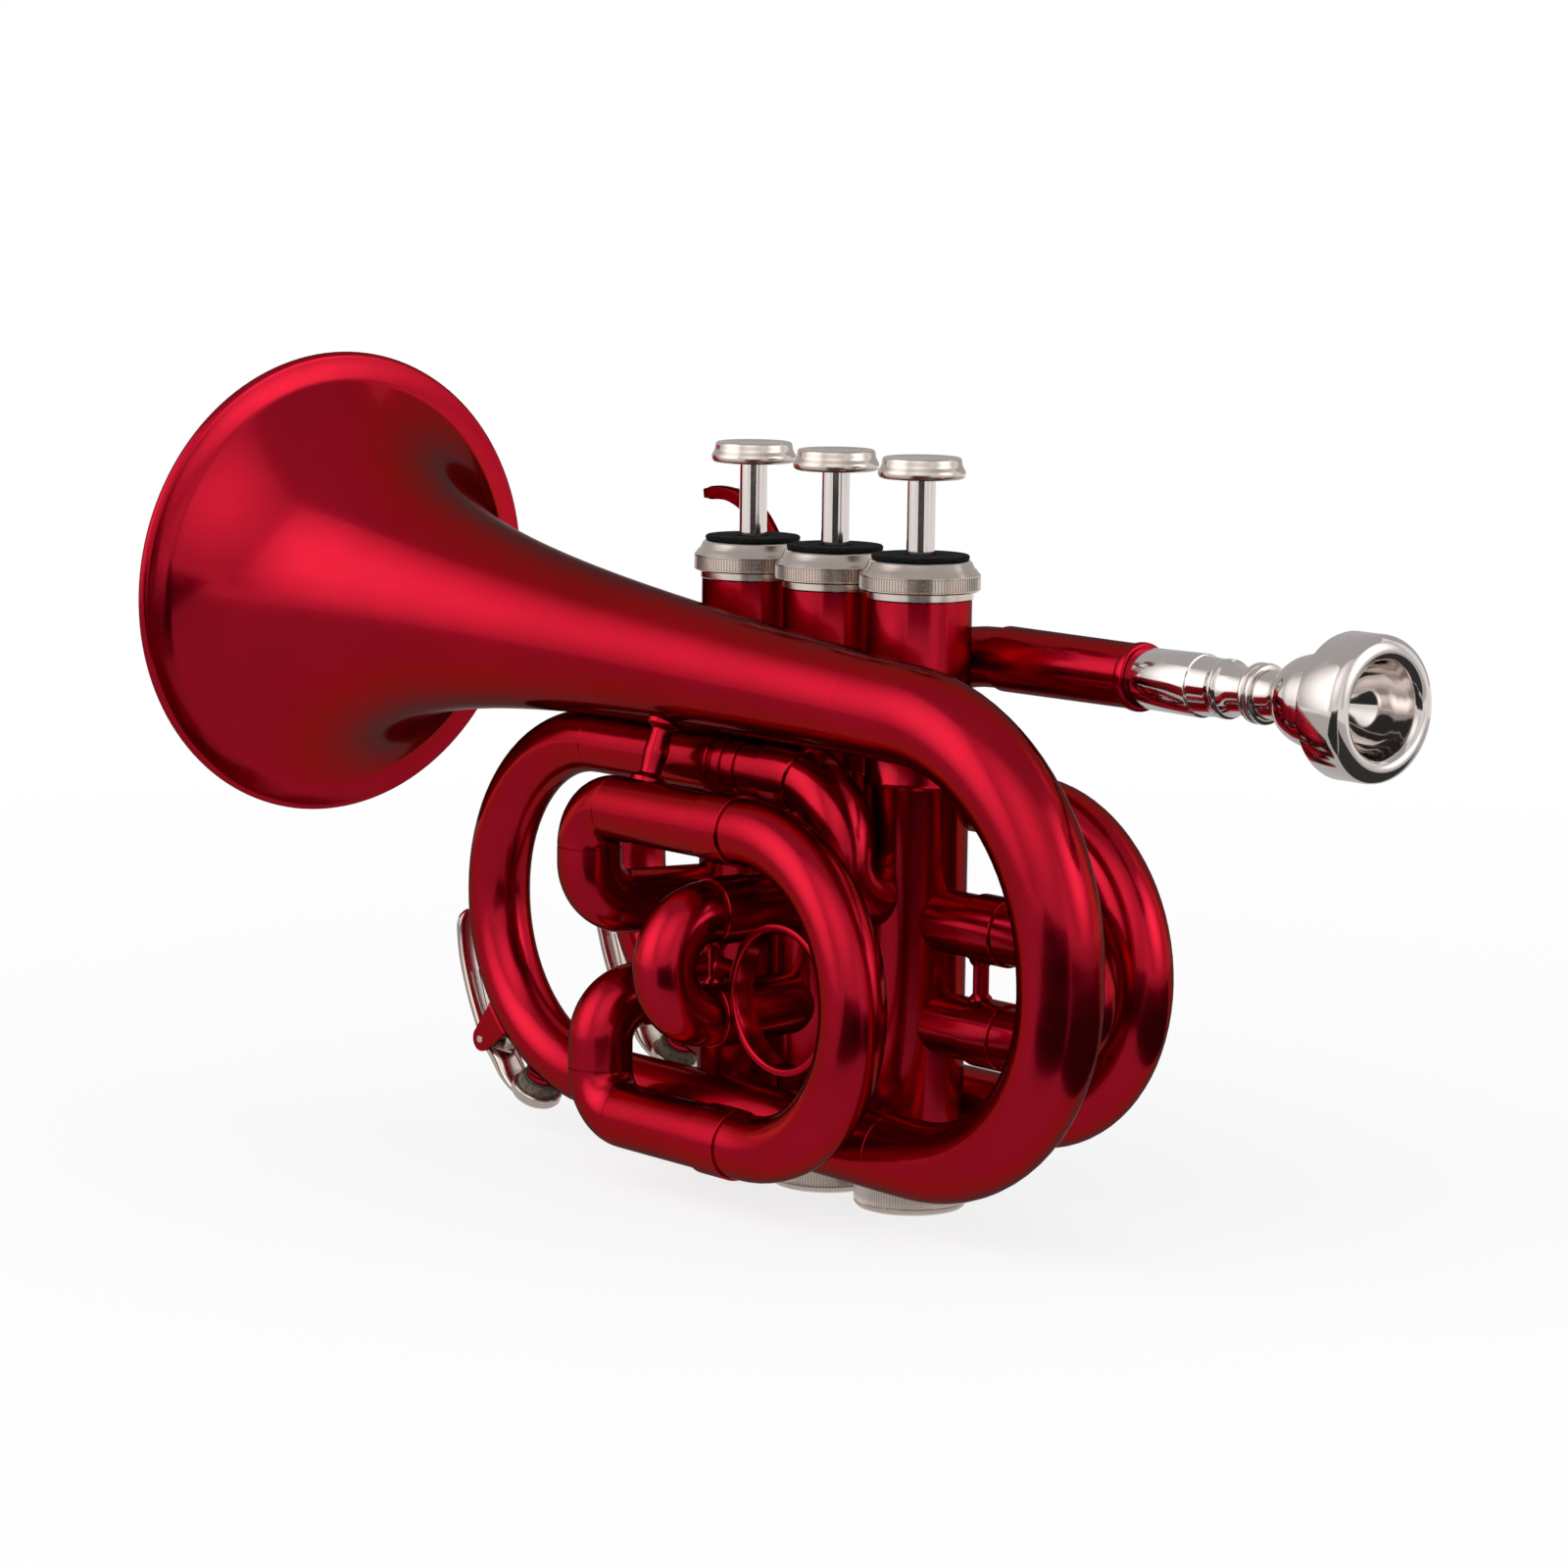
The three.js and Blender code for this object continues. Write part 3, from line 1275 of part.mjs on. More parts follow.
// Stations through a list of places, each facing along the line between its neighbours.
function throughPlaces(places) {
  let travelled = 0;
  return places.map((place, i) => {
    const before = places[Math.max(0, i - 1)];
    const after = places[Math.min(places.length - 1, i + 1)];
    travelled += place.distanceTo(before);
    return { place, along: after.clone().sub(before).normalize(), travelled };
  });
}

function makeWaterKey(name, seat) {
  const pivot = seatPlace(seat, keyPivotTurn, keyPivotStandoff);
  makeKeyLever(name, seat, pivot);
  makeKeySaddle(name, seat, pivot);
  makeKeySpring(name, seat, pivot);
}

for (let valve = 0; valve < 3; valve++) {
  makeCasing(valve);
  makeCaps(valve);
  makePiston(valve);
  makeStemAndButton(valve);
  makeValveSpring(valve);
}
makePortTube(0);
makePortTube(1);
makeBell();
makeBellBow();
makeNearLoop();
makeNearFrontBow();
makeLeadpipe();
makeFarLoop();
makeMainSlide();
makeMouthpiece();
makeFirstAndSecondSlides();
makeThirdSlide();
makeFingerRing();
makeHook();
makeBellBrace();
makeWaterKey("near_water_key", nearKeySeat);
makeWaterKey("far_water_key", farKeySeat);

export default trumpet;
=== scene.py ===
"""A red lacquered pocket trumpet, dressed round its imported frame.

Lengths below are millimetres in the frame's axes: +X to the bell mouth, +Y to the player's left, +Z up.
The mesh functions turn them into metres.
"""
import json
from collections import namedtuple
from math import asin, ceil, copysign, cos, hypot, pi, radians, sin, sqrt, tan

import bmesh
import bpy
from mathutils import Matrix, Quaternion, Vector


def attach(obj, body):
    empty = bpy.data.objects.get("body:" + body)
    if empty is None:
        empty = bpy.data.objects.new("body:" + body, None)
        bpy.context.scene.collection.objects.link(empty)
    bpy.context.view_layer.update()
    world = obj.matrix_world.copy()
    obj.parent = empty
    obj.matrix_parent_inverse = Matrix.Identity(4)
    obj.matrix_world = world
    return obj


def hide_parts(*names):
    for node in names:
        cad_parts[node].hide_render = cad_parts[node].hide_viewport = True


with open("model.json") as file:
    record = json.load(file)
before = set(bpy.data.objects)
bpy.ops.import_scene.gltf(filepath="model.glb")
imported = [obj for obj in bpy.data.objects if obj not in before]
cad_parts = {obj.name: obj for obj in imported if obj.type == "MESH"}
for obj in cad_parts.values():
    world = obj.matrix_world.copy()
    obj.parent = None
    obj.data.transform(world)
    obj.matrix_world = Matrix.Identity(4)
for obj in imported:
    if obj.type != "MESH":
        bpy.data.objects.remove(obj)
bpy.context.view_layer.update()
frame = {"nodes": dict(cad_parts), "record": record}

MM = 0.001


def at(x, y, z):
    return Vector((x, y, z))


AXIS_X = at(1, 0, 0)
AXIS_Y = at(0, 1, 0)
AXIS_Z = at(0, 0, 1)

# Fineness
TUBE_SIDES = 40
TURNED_SIDES = 72
BELL_SIDES = 144
BOW_STEP = radians(4.5)
SHARP_ANGLE = radians(38)

# Valve block
VALVE_PITCH = 24
CASING_RADIUS = 9.7
CASING_BORE = 8.7
PORT_SEAT_RADIUS = 9.4
CASING_BOTTOM = 5.9
CASING_TOP = 114.4
COLLAR_HEIGHT = 80.4
COLLAR_BULGE = 0.3
TOP_CAP_BOTTOM = 114.7
TOP_CAP_HEIGHT = 7
FELT_BOTTOM = 122
FELT_THICKNESS = 0.45
FELT_RADIUS = 9.1
STEM_RADIUS = 2.65
STEM_BOTTOM = 114.4
BUTTON_BOTTOM = 136.6
KNURL_TEETH = 116
KNURL_DEPTH = 0.28

# Tubing
TUBE_WALL = 0.7
EDGE = 0.14
SEAT_GAP = 0.3
HALF_GAP = SEAT_GAP / 2
LEADPIPE_RADIUS = 5.7
LOOP_RADIUS = 6.2
SMALL_RADIUS = 5.9
FERRULE_STEP = 0.5
FERRULE_LENGTH = 8
LOWER_PORT = 36
UPPER_PORT = 55.4
PORT_TUBE_RISE = 13.5

# Bell
BELL_RIM_RADIUS = 46.38
BELL_BEAD_RADIUS = 1.2
BELL_FLARE_REACH = 20.4
BELL_FLARE_POWER = 0.72
BELL_LENGTH = 168
BELL_WALL = 0.8
BELL_TILT = radians(3)
BELL_RIM = at(156, 22.6, 106.1)

# Routes
NEAR_SIDE = 16.5
BELL_BOW_REAR = -60.2
BELL_BOW_BEND = 39.6
BELL_BOW_END_X = -14
BELL_BOW_END_SIDE = 17.3
BELL_BOW_MIDDLE_RADIUS = 7.8
BELL_BOW_END_RADIUS = 7.3
NEAR_BOTTOM = 14.6
NEAR_TOP = 81.3
NEAR_FRONT_X = 106.3
NEAR_TOP_END_X = 19.5
NEAR_FERRULE_X = 27
NEAR_FERRULE_RING = 2
NEAR_FERRULE_PITCH = 4
BRANCH_X = 1.6
BRANCH_BEND = 14
BRANCH_PORT = 60
TIGHT_BEND = 7.2
ELBOW_BEND = 8.3
FAR_SIDE = -16.3
RECEIVER_END_X = -42.8
RECEIVER_JOINT_X = -6.8
RECEIVER_RADIUS = 5.95
RECEIVER_END_RADIUS = 6.15
RECEIVER_BEAD_RADIUS = 6.35
RECEIVER_BEAD_LENGTH = 2
LEADPIPE_HEIGHT = 102.85
LEADPIPE_DROP_START_X = 6
LEADPIPE_DROP_END_X = 36
LEADPIPE_BEND = 45
SLEEVE_START_X = 48
SLEEVE_END_X = 65.7
FAR_TOP = 88.4
FAR_BOTTOM = 18
FAR_FRONT_X = 103.6
FAR_REAR_X = -43.3
FAR_REAR_TOP = 75.6
VALVE_3_ENTRY_X = 49
MAIN_SLIDE_LEG = 17

# Slides
FIRST_TUBE_END = 26.5
FIRST_BOW = 36
FIRST_LEG = 14
SECOND_X = 24.6
SECOND_TUBE_END = 29.2
SECOND_BOW = 30.2
SECOND_LEG = 14
THIRD_SIDE = 32
THIRD_TOP = 72.3
THIRD_BOTTOM = 13.5
THIRD_REAR = -19.4
THIRD_JOINT_X = 12
THIRD_LEG = 28
THIRD_UPPER_TURN_X = 57.3
THIRD_LOWER_TURN_X = 53.5
THIRD_UPPER_CROSS = 52.8
THIRD_LOWER_CROSS = 35
THIRD_PORT_X = 50.5

# Mouthpiece
MOUTHPIECE_RIM_RADIUS = 12.95
MOUTHPIECE_OUTER_LENGTH = 58.5
MOUTHPIECE_SHANK_LENGTH = 24
SHANK_TIP_SHARE = 0.34
SHANK_MOUTH_SHARE = 0.385

# Fittings
RING_RADIUS = 14.3
RING_WALL = 1.8
RING_WIDTH = 5
RING_SQUARENESS = 0.4
RING_X = 3.8
RING_NEAR_SIDE = 30
RING_HEIGHT = 41.8
RING_STEM_SIDE = 27.5
RING_STEM_HEIGHT = 45
RING_POST_RADIUS = 1.5
RING_CONE_RADIUS = 1.9
HOOK_X = 55
HOOK_RISE = 33.8
HOOK_REACH = 26.8
HOOK_WIDTH = 3.8
HOOK_THICKNESS = 2.8
HOOK_FOOT_RADIUS = 4
BRACE_X = 42
BRACE_RADIUS = 2.4
BRACE_FOOT_RADIUS = 3.4
BRACE_WAIST_SHARE = 0.84

# Water keys
KEY_WIDTH = 6.4
KEY_THICKNESS = 1.4
KEY_STANDOFF = 5
KEY_PIVOT_STANDOFF = 5.3
KEY_PIVOT_TURN = radians(42.6)
KEY_BARREL_RADIUS = 2.5
KEY_BARREL_LENGTH = 3.4
KEY_PIN_RADIUS = 0.8
KEY_PIN_SHOW = 0.4
KEY_EAR_THICKNESS = 1.4
KEY_EAR_RADIUS = 2.5
KEY_FOOT_TURN = radians(5.6)
KEY_FOOT_HEIGHT = 0.55
CORK_RADIUS = 4.2
CORK_THICKNESS = 3.2
CORK_HOLD_SHARE = 0.65
SPOUT_TURN = radians(62.3)
SPOUT_RADIUS = 3.1
SPOUT_BORE_RADIUS = 1.3
SPOUT_RISE = 1.6
WIRE_RADIUS = 0.25
WIRE_TURNS = 2.25

# Camera, from the photograph's 1600 pixel frame
PHOTO_WIDTH = 1600
FOCAL_PIXELS = 4818
SENSOR_WIDTH = 36
CAMERA_PLACE = at(-643.56, 582.41, 201.04)
CAMERA_AHEAD = at(0.75283627, -0.64343605, -0.13866361)
CAMERA_RIGHT = at(-0.6482924, -0.76128335, 0.01283049)

BODY_OF = {node: body for body, nodes in frame["record"]["behaviour"]["bodies"].items() for node in nodes}
SLOT_OF = {row["node"]: row["material_slot"] for row in frame["record"]["subparts"]}


# Materials

LACQUER_DEEP = (0.39, 0.0025, 0.016, 1)
LACQUER_BRIGHT = (0.45, 0.0035, 0.02, 1)
LACQUER_EDGE = (0.15, 0.01, 0.02, 1)
CORK_PORE = (0.05, 0.035, 0.028, 1)
CORK_BARK = (0.12, 0.09, 0.07, 1)

# Base colour, darker cloud, roughness, its spread and the strength of the wiping marks
METALS = {
    "nickel_silver": ((0.66, 0.58, 0.52), (0.58, 0.50, 0.45), 0.17, 0.1, 0.04),
    "chrome_plate": ((0.70, 0.635, 0.61), (0.65, 0.59, 0.565), 0.07, 0.04, 0.015),
    "bare_brass": ((0.72, 0.56, 0.30), (0.62, 0.47, 0.24), 0.2, 0.12, 0.04),
    "spring_steel": ((0.56, 0.55, 0.54), (0.46, 0.45, 0.44), 0.25, 0.12, 0.04),
}


class Graph:
    """The nodes of a material or world."""

    def __init__(self, owner):
        owner.use_nodes = True
        self.owner = owner
        self.nodes = owner.node_tree.nodes
        self.join = owner.node_tree.links.new

    def put(self, node, **values):
        """Sets or joins a node's sockets. An underscore in a name stands for a space."""
        for name, value in values.items():
            socket = node.inputs[name.replace("_", " ")]
            if isinstance(value, bpy.types.NodeSocket):
                self.join(value, socket)
            else:
                socket.default_value = value

    def add(self, kind, output=0, **values):
        """Adds a node and gives back one of its outputs."""
        node = self.nodes.new(f"ShaderNode{kind}")
        self.put(node, **values)
        return node.outputs[output]

    def calculate(self, kind, operation, *values):
        node = self.nodes.new(f"ShaderNode{kind}")
        node.operation = operation
        for value, socket in zip(values, node.inputs):
            self.join(value, socket)
        return node.outputs["Value"]

    def own_place(self):
        """The object's own coordinates."""
        return self.add("TexCoord", "Object")

    def noise(self, scale, detail, stretch=(1, 1, 1)):
        place = self.add("Mapping", Scale=stretch, Vector=self.own_place())
        return self.add("TexNoise", "Fac", Scale=scale, Detail=detail, Vector=place)

    def ramp(self, source, low, high, start=0.35, end=0.65):
        """Maps a grey value to a range of grey or colour."""
        colour = self.add("ValToRGB", Fac=source)
        elements = colour.node.color_ramp.elements
        for element, position, value in zip(elements, (start, end), (low, high)):
            element.position = position
            element.color = value
        return colour

    def length_ramp(self, low, high, start, end):
        """A tone by the distance from the object's own middle."""
        reach = self.calculate("VectorMath", "LENGTH", self.own_place())
        return self.ramp(reach, grey(low), grey(high), start, end)

    def bump(self, height, strength, distance=0.0001):
        return self.add("Bump", Strength=strength, Distance=distance, Height=height)

    def show(self, shader):
        """Ends a material in a shader other than the principled one."""
        self.put(self.nodes["Material Output"], Surface=shader)


def grey(value):
    return (value, value, value, 1)


def new_material(name):
    return Graph(bpy.data.materials.new(name))


def stage_material(name):
    """A material for the stage, without the principled shader."""
    graph = new_material(name)
    graph.nodes.remove(graph.nodes["Principled BSDF"])
    return graph


def surface(graph, **looks):
    """Gives a material's principled shader its looks."""
    graph.put(graph.nodes["Principled BSDF"], **looks)
    return graph.owner


def lacquer_material():
    """Candy red lacquer over polished brass: deep metallic red under a clear coat."""
    graph = new_material("red_lacquer")
    return surface(
        graph, Metallic=1, Specular_Tint=LACQUER_EDGE, Coat_Weight=0.12, Coat_Roughness=0.08,
        Base_Color=graph.ramp(graph.noise(26, 3), LACQUER_DEEP, LACQUER_BRIGHT),
        Roughness=graph.ramp(graph.noise(240, 4), grey(0.19), grey(0.25)),
        Normal=graph.bump(graph.noise(420, 2), 0.05),
    )


def metal_material(name, colour, dark, roughness, spread, marks):
    """Polished plate or plain metal with faint wiping marks."""
    graph = new_material(name)
    wipe = graph.noise(300, 5, (1, 1, 0.15))
    return surface(
        graph, Metallic=1, Base_Color=graph.ramp(graph.noise(60, 4), (*dark, 1), (*colour, 1)),
        Roughness=graph.ramp(wipe, grey(roughness), grey(roughness + spread)),
        Normal=graph.bump(wipe, marks),
    )


def felt_material():
    """Dense black felt with a short nap."""
    graph = new_material("black_felt")
    nap = graph.noise(1800, 6)
    return surface(
        graph, Base_Color=graph.ramp(nap, grey(0.001), grey(0.006)), Roughness=0.95,
        Specular_IOR_Level=0.15, Normal=graph.bump(nap, 0.7, 0.0003),
    )


def cork_material():
    """Dark worn cork with pores."""
    graph = new_material("natural_cork")
    pores = graph.add("TexVoronoi", "Distance", Scale=900, Vector=graph.own_place())
    return surface(
        graph, Base_Color=graph.ramp(pores, CORK_PORE, CORK_BARK, 0.1, 0.8), Roughness=0.85,
        Normal=graph.bump(pores, 0.5, 0.0003),
    )


MATERIALS = {
    "red_lacquer": lacquer_material(),
    **{name: metal_material(name, *values) for name, values in METALS.items()},
    "black_felt": felt_material(),
    "natural_cork": cork_material(),
}


# Routes

# A place on a route, its direction and the way travelled to it
Station = namedtuple("Station", "place along travelled")


def near_at(x, z):
    return at(x, NEAR_SIDE, z)


def far_at(x, z):
    return at(x, FAR_SIDE, z)


def third_at(x, z):
    return at(x, THIRD_SIDE, z)


def route(corners, bends=(), step=BOW_STEP):
    """Straight runs joined by arcs, from the corners and one bend radius for each inner corner."""
    runs = [(b - a).normalized() for a, b in zip(corners, corners[1:])]
    stations = [Station(corners[0].copy(), runs[0], 0)]

    def push(place, along):
        last = stations[-1]
        straight = (place - last.place).length
        turn = last.along.angle(along, 0)
        length = straight if turn < 1e-5 else straight * turn / 2 / sin(turn / 2)
        if length > SEAT_GAP / 10:
            stations.append(Station(place, along, last.travelled + length))

    for i, bend in enumerate(bends):
        angle = runs[i].angle(runs[i + 1])
        hinge = runs[i].cross(runs[i + 1]).normalized()
        start = corners[i + 1] - runs[i] * bend * tan(angle / 2)
        centre = start + hinge.cross(runs[i]) * bend
        count = max(1, ceil(angle / step - 1e-6))
        for k in range(count + 1):
            turn = Quaternion(hinge, angle * k / count)
            push(centre + turn @ (start - centre), turn @ runs[i])
    push(corners[-1].copy(), runs[-1])
    return stations


def bow(place, start, end, first, last, bend):
    """A route out from start to end at one height and back at another."""
    corners = [place(start, first), place(end, first), place(end, last), place(start, last)]
    return route(corners, [bend, bend])


def circle(sides):
    """The cosine and sine of each step round a circle."""
    angles = [2 * pi * k / sides for k in range(sides)]
    return [(cos(angle), sin(angle)) for angle in angles]


def ways_along(places):
    """The direction at each place, from the place before it to the place after."""
    befores = [places[0]] + places[:-1]
    afters = places[1:] + [places[-1]]
    return [(after - before).normalized() for before, after in zip(befores, afters)]


def route_length(stations):
    return stations[-1].travelled


def station_at(stations, travelled):
    """The station at a given way along a route."""
    for before, after in zip(stations, stations[1:]):
        if after.travelled >= travelled - 1e-9:
            share = (travelled - before.travelled) / (after.travelled - before.travelled)
            along = before.along.lerp(after.along, share).normalized()
            return Station(before.place.lerp(after.place, share), along, travelled)
    return stations[-1]


def radius_along(profile, travelled):
    for (from_way, from_radius), (to_way, to_radius) in zip(profile, profile[1:]):
        if to_way >= travelled:
            share = (travelled - from_way) / (to_way - from_way) if to_way > from_way else 1
            return from_radius + (to_radius - from_radius) * share
    return profile[-1][1]


def rings_along(stations, profile):
    """The rings of a skin along a route, from [way, radius] pairs."""
    marks = [way for way, _ in profile]
    rings = []
    for station in stations:
        if all(abs(way - station.travelled) > SEAT_GAP / 10 for way in marks):
            rings.append((station.travelled, 0, station, radius_along(profile, station.travelled)))
    for order, (way, radius) in enumerate(profile):
        rings.append((way, order, station_at(stations, way), radius))
    rings.sort(key=lambda ring: (ring[0], ring[1]))
    return [(station, radius) for _, _, station, radius in rings]


# Meshes

class Shape:
    """Collects the skins of one piece in millimetres."""

    def __init__(self):
        self.verts = []
        self.faces = []

    def grid(self, rows, closed_rows, cap_ends=False):
        """Joins rows of points, each a closed loop, into a skin, with closed_rows also last to first."""
        first = len(self.verts)
        sides = len(rows[0])
        for row in rows:
            self.verts.extend(row)
        for i in range(len(rows) if closed_rows else len(rows) - 1):
            near = first + i * sides
            far = first + ((i + 1) % len(rows)) * sides
            for k in range(sides):
                side = (k + 1) % sides
                self.faces.append((near + k, near + side, far + side, far + k))
        if cap_ends:
            last = first + (len(rows) - 1) * sides
            self.faces.append(tuple(first + k for k in reversed(range(sides))))
            self.faces.append(tuple(last + k for k in range(sides)))
        return self

    def loft(self, rings, sides, closed_rows):
        """A skin of round rings at stations, with the least twist between them."""
        frames = {}
        across = None
        last = None
        for station, _ in sorted(rings, key=lambda ring: ring[0].travelled):
            if across is None:
                across = AXIS_Y.copy() if abs(station.along.y) < 0.7 else AXIS_Z.copy()
            else:
                across.rotate(last.rotation_difference(station.along))
            across = (across - station.along * across.dot(station.along)).normalized()
            last = station.along
            frames[station.travelled] = (across.copy(), station.along.cross(across))
        rows = []
        for station, radius in rings:
            u, v = frames[station.travelled]
            rows.append([station.place + u * radius * c + v * radius * s for c, s in circle(sides)])
        return self.grid(rows, closed_rows, cap_ends=not closed_rows)

    def tube(self, stations, profile, bore, sides=TUBE_SIDES):
        outer = rings_along(stations, profile)
        inner = rings_along(stations, bore)[::-1]
        return self.loft(outer + inner, sides, True)

    def seat_on_casing(self, first, end, way, x):
        """Runs the end of the tube whose points start at first on to the wall of the casing at x."""
        for i in range(first, len(self.verts)):
            place = self.verts[i]
            if (place - end).dot(way) > -2 * EDGE:
                flat = at(place.x - x, place.y, 0)
                ahead = flat.dot(way)
                depth = sqrt(ahead**2 - flat.length_squared + PORT_SEAT_RADIUS**2)
                self.verts[i] = place - way * (ahead + depth)

    def bar(self, stations, radius, sides=TUBE_SIDES):
        return self.loft([(station, radius) for station in stations], sides, False)

    def turned(self, outline, origin, axis, sides=TURNED_SIDES, teeth=0):
        """A turned skin from (radius, height) or (radius, height, tooth depth) points.
        An outline that starts and ends on the axis is a solid, and any other closes on itself."""
        turn = AXIS_Z.rotation_difference(axis)
        on_axis = outline[0][0] == 0 and outline[-1][0] == 0
        if teeth:
            sides = teeth * 4
        rows = []
        for point in (outline[1:-1] if on_axis else outline):
            radius, height = point[:2]
            depth = point[2] if len(point) > 2 else 0
            row = []
            for k, (c, s) in enumerate(circle(sides)):
                reach = radius - (depth if teeth and k % 4 in (0, 3) else 0)
                row.append(origin + turn @ at(reach * c, reach * s, height))
            rows.append(row)
        first = len(self.verts)
        self.grid(rows, not on_axis)
        if on_axis:
            last = first + (len(rows) - 1) * sides
            for pole, start in ((outline[0], first), (outline[-1], last)):
                centre = len(self.verts)
                self.verts.append(origin + turn @ at(0, 0, pole[1]))
                for k in range(sides):
                    side = (k + 1) % sides
                    edge = (start + k, start + side) if start == last else (start + side, start + k)
                    self.faces.append((*edge, centre))
        return self

    def ribbon(self, places, widths, thicknesses, side_way=AXIS_Y, corner_share=0.5, corner_steps=4):
        """A band with rounded edges along a list of places."""
        rows = []
        for place, along, width, thickness in zip(places, ways_along(places), widths, thicknesses):
            out = along.cross(side_way).normalized()
            half_width = width / 2
            half_thick = thickness / 2
            corner = min(half_width, half_thick) * corner_share * 2 * 0.98
            row = []
            for quarter, (sx, sy) in enumerate(((1, 1), (-1, 1), (-1, -1), (1, -1))):
                for k in range(corner_steps + 1):
                    angle = pi / 2 * (quarter + k / corner_steps)
                    x = sx * (half_width - corner) + corner * cos(angle)
                    y = sy * (half_thick - corner) + corner * sin(angle)
                    row.append(place + side_way * x + out * y)
            rows.append(row)
        return self.grid(rows, False, cap_ends=True)

    def plate(self, outline, start, end, edge):
        """A flat plate from places in a plane of constant Y, between two places in Y, with eased edges."""
        middle = sum(outline, Vector()) / len(outline)
        reach = max((place - middle).length for place in outline)
        rows = []
        for side, shrink in ((start, edge), (start + edge, 0), (end - edge, 0), (end, edge)):
            row = []
            for place in outline:
                drawn_in = middle.lerp(place, 1 - shrink / reach)
                row.append(at(drawn_in.x, side, drawn_in.z))
            rows.append(row)
        return self.grid(rows, False, cap_ends=True)


def new_object(name, data):
    thing = bpy.data.objects.new(name, data)
    bpy.context.scene.collection.objects.link(thing)
    return thing


def finish_piece(name, shape, node, slot=None):
    """Makes the piece's object, which rides on the body of the node that it replaces."""
    mesh = bpy.data.meshes.new(name)
    mesh.from_pydata([tuple(vert * MM) for vert in shape.verts], [], shape.faces)
    mesh.validate()
    face_out(mesh)
    mesh.shade_smooth()
    mesh.set_sharp_from_angle(angle=SHARP_ANGLE)
    piece = new_object(name, mesh)
    slot = slot or SLOT_OF[node]
    mesh.materials.append(MATERIALS[slot])
    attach(piece, BODY_OF[node])
    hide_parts(node)


def face_out(mesh):
    """Turns every face of a mesh's closed skins outwards."""
    work = bmesh.new()
    work.from_mesh(mesh)
    bmesh.ops.recalc_face_normals(work, faces=work.faces)
    work.to_mesh(mesh)
    work.free()


# Profiles

def ferrule(start, end, radius, rise=FERRULE_STEP):
    """A raised band with eased edges."""
    top = radius + rise
    return [
        (start, radius), (start, top - EDGE), (start + EDGE, top), (end - EDGE, top),
        (end, top - EDGE), (end, radius),
    ]


def eased(length, radius, end_radius=None):
    """A plain run whose two ends are eased, so that a hairline shows where it meets the next piece."""
    end_radius = end_radius or radius
    return [(0, radius - EDGE), (EDGE, radius), (length - EDGE, end_radius), (length, end_radius - EDGE)]


def plain_tube(
    shape, stations, radius, start_ferrule=False, end_ferrule=False, seams=(), seats=(None, None)
):
    """A tube with its bore. A seat is the place in X of the casing on which that end stands."""
    total = route_length(stations)
    profile = eased(total, radius)
    if start_ferrule:
        profile = ferrule(0, FERRULE_LENGTH, radius)[1:] + profile[2:]
    if end_ferrule:
        profile = profile[:-2] + ferrule(total - FERRULE_LENGTH, total, radius)[:-1]
    for way in seams:
        bottom = radius - EDGE
        groove = [(way - EDGE, radius), (way - EDGE / 3, bottom)]
        groove += [(way + EDGE / 3, bottom), (way + EDGE, radius)]
        profile = profile[:-2] + groove + profile[-2:]
    bore = radius - TUBE_WALL
    first = len(shape.verts)
    shape.tube(stations, profile, [(0, bore), (total, bore)])
    for seat, end, way in zip(seats, (stations[0], stations[-1]), (-1, 1)):
        if seat is not None:
            shape.seat_on_casing(first, end.place, end.along * way, seat)
    return shape


def turned_piece(name, node, outline, origin, axis, sides, slot=None):
    finish_piece(name, Shape().turned(outline, origin, axis, sides), node, slot)


def tube_piece(name, node, stations, radius=LOOP_RADIUS, **ends):
    finish_piece(name, plain_tube(Shape(), stations, radius, **ends), node)


def skin_piece(name, node, stations, outer, bore):
    finish_piece(name, Shape().tube(stations, outer, bore), node)


def crook(stations, radius, leg):
    """A slide's bow with its thinner legs."""
    total = route_length(stations)
    thin = radius - TUBE_WALL - SEAT_GAP
    bore = thin - TUBE_WALL
    half = [(0, thin), (leg, thin), (leg, radius - EDGE), (leg + EDGE, radius)]
    profile = half + [(total - way, reach) for way, reach in reversed(half)]
    return Shape().tube(stations, profile, [(0, bore), (total, bore)])


def mirrored(half, length):
    """Points of (radius, height) with their mirror image at the other end."""
    return half + [(radius, length - height) for radius, height in reversed(half)]


def smooth(points, steps=5):
    """Points of a smooth curve through a short list."""
    points = [Vector(point) for point in points]
    result = []
    for i in range(len(points) - 1):
        p0, p1, p2, p3 = points[max(0, i - 1)], points[i], points[i + 1], points[min(len(points) - 1, i + 2)]
        for k in range(steps):
            t = k / steps
            square = (p0 * 2 - p1 * 5 + p2 * 4 - p3) * t**2
            cube = (p1 * 3 - p0 - p2 * 3 + p3) * t**3
            result.append(tuple((p1 * 2 + (p2 - p0) * t + square + cube) / 2))
    return result + [tuple(points[-1])]


# Valves

CAP_BAND = 1.3
CAP_KNURL = 3.3
CAP_SHOULDER = 5.3
CAP_RADIUS = 11.2
CAP_BAND_RADIUS = 9.95
BOTTOM_CAP_RADIUS = 10.6
BOTTOM_CAP_HEIGHT = 5.6
BOTTOM_CAP_FOOT = 9.3
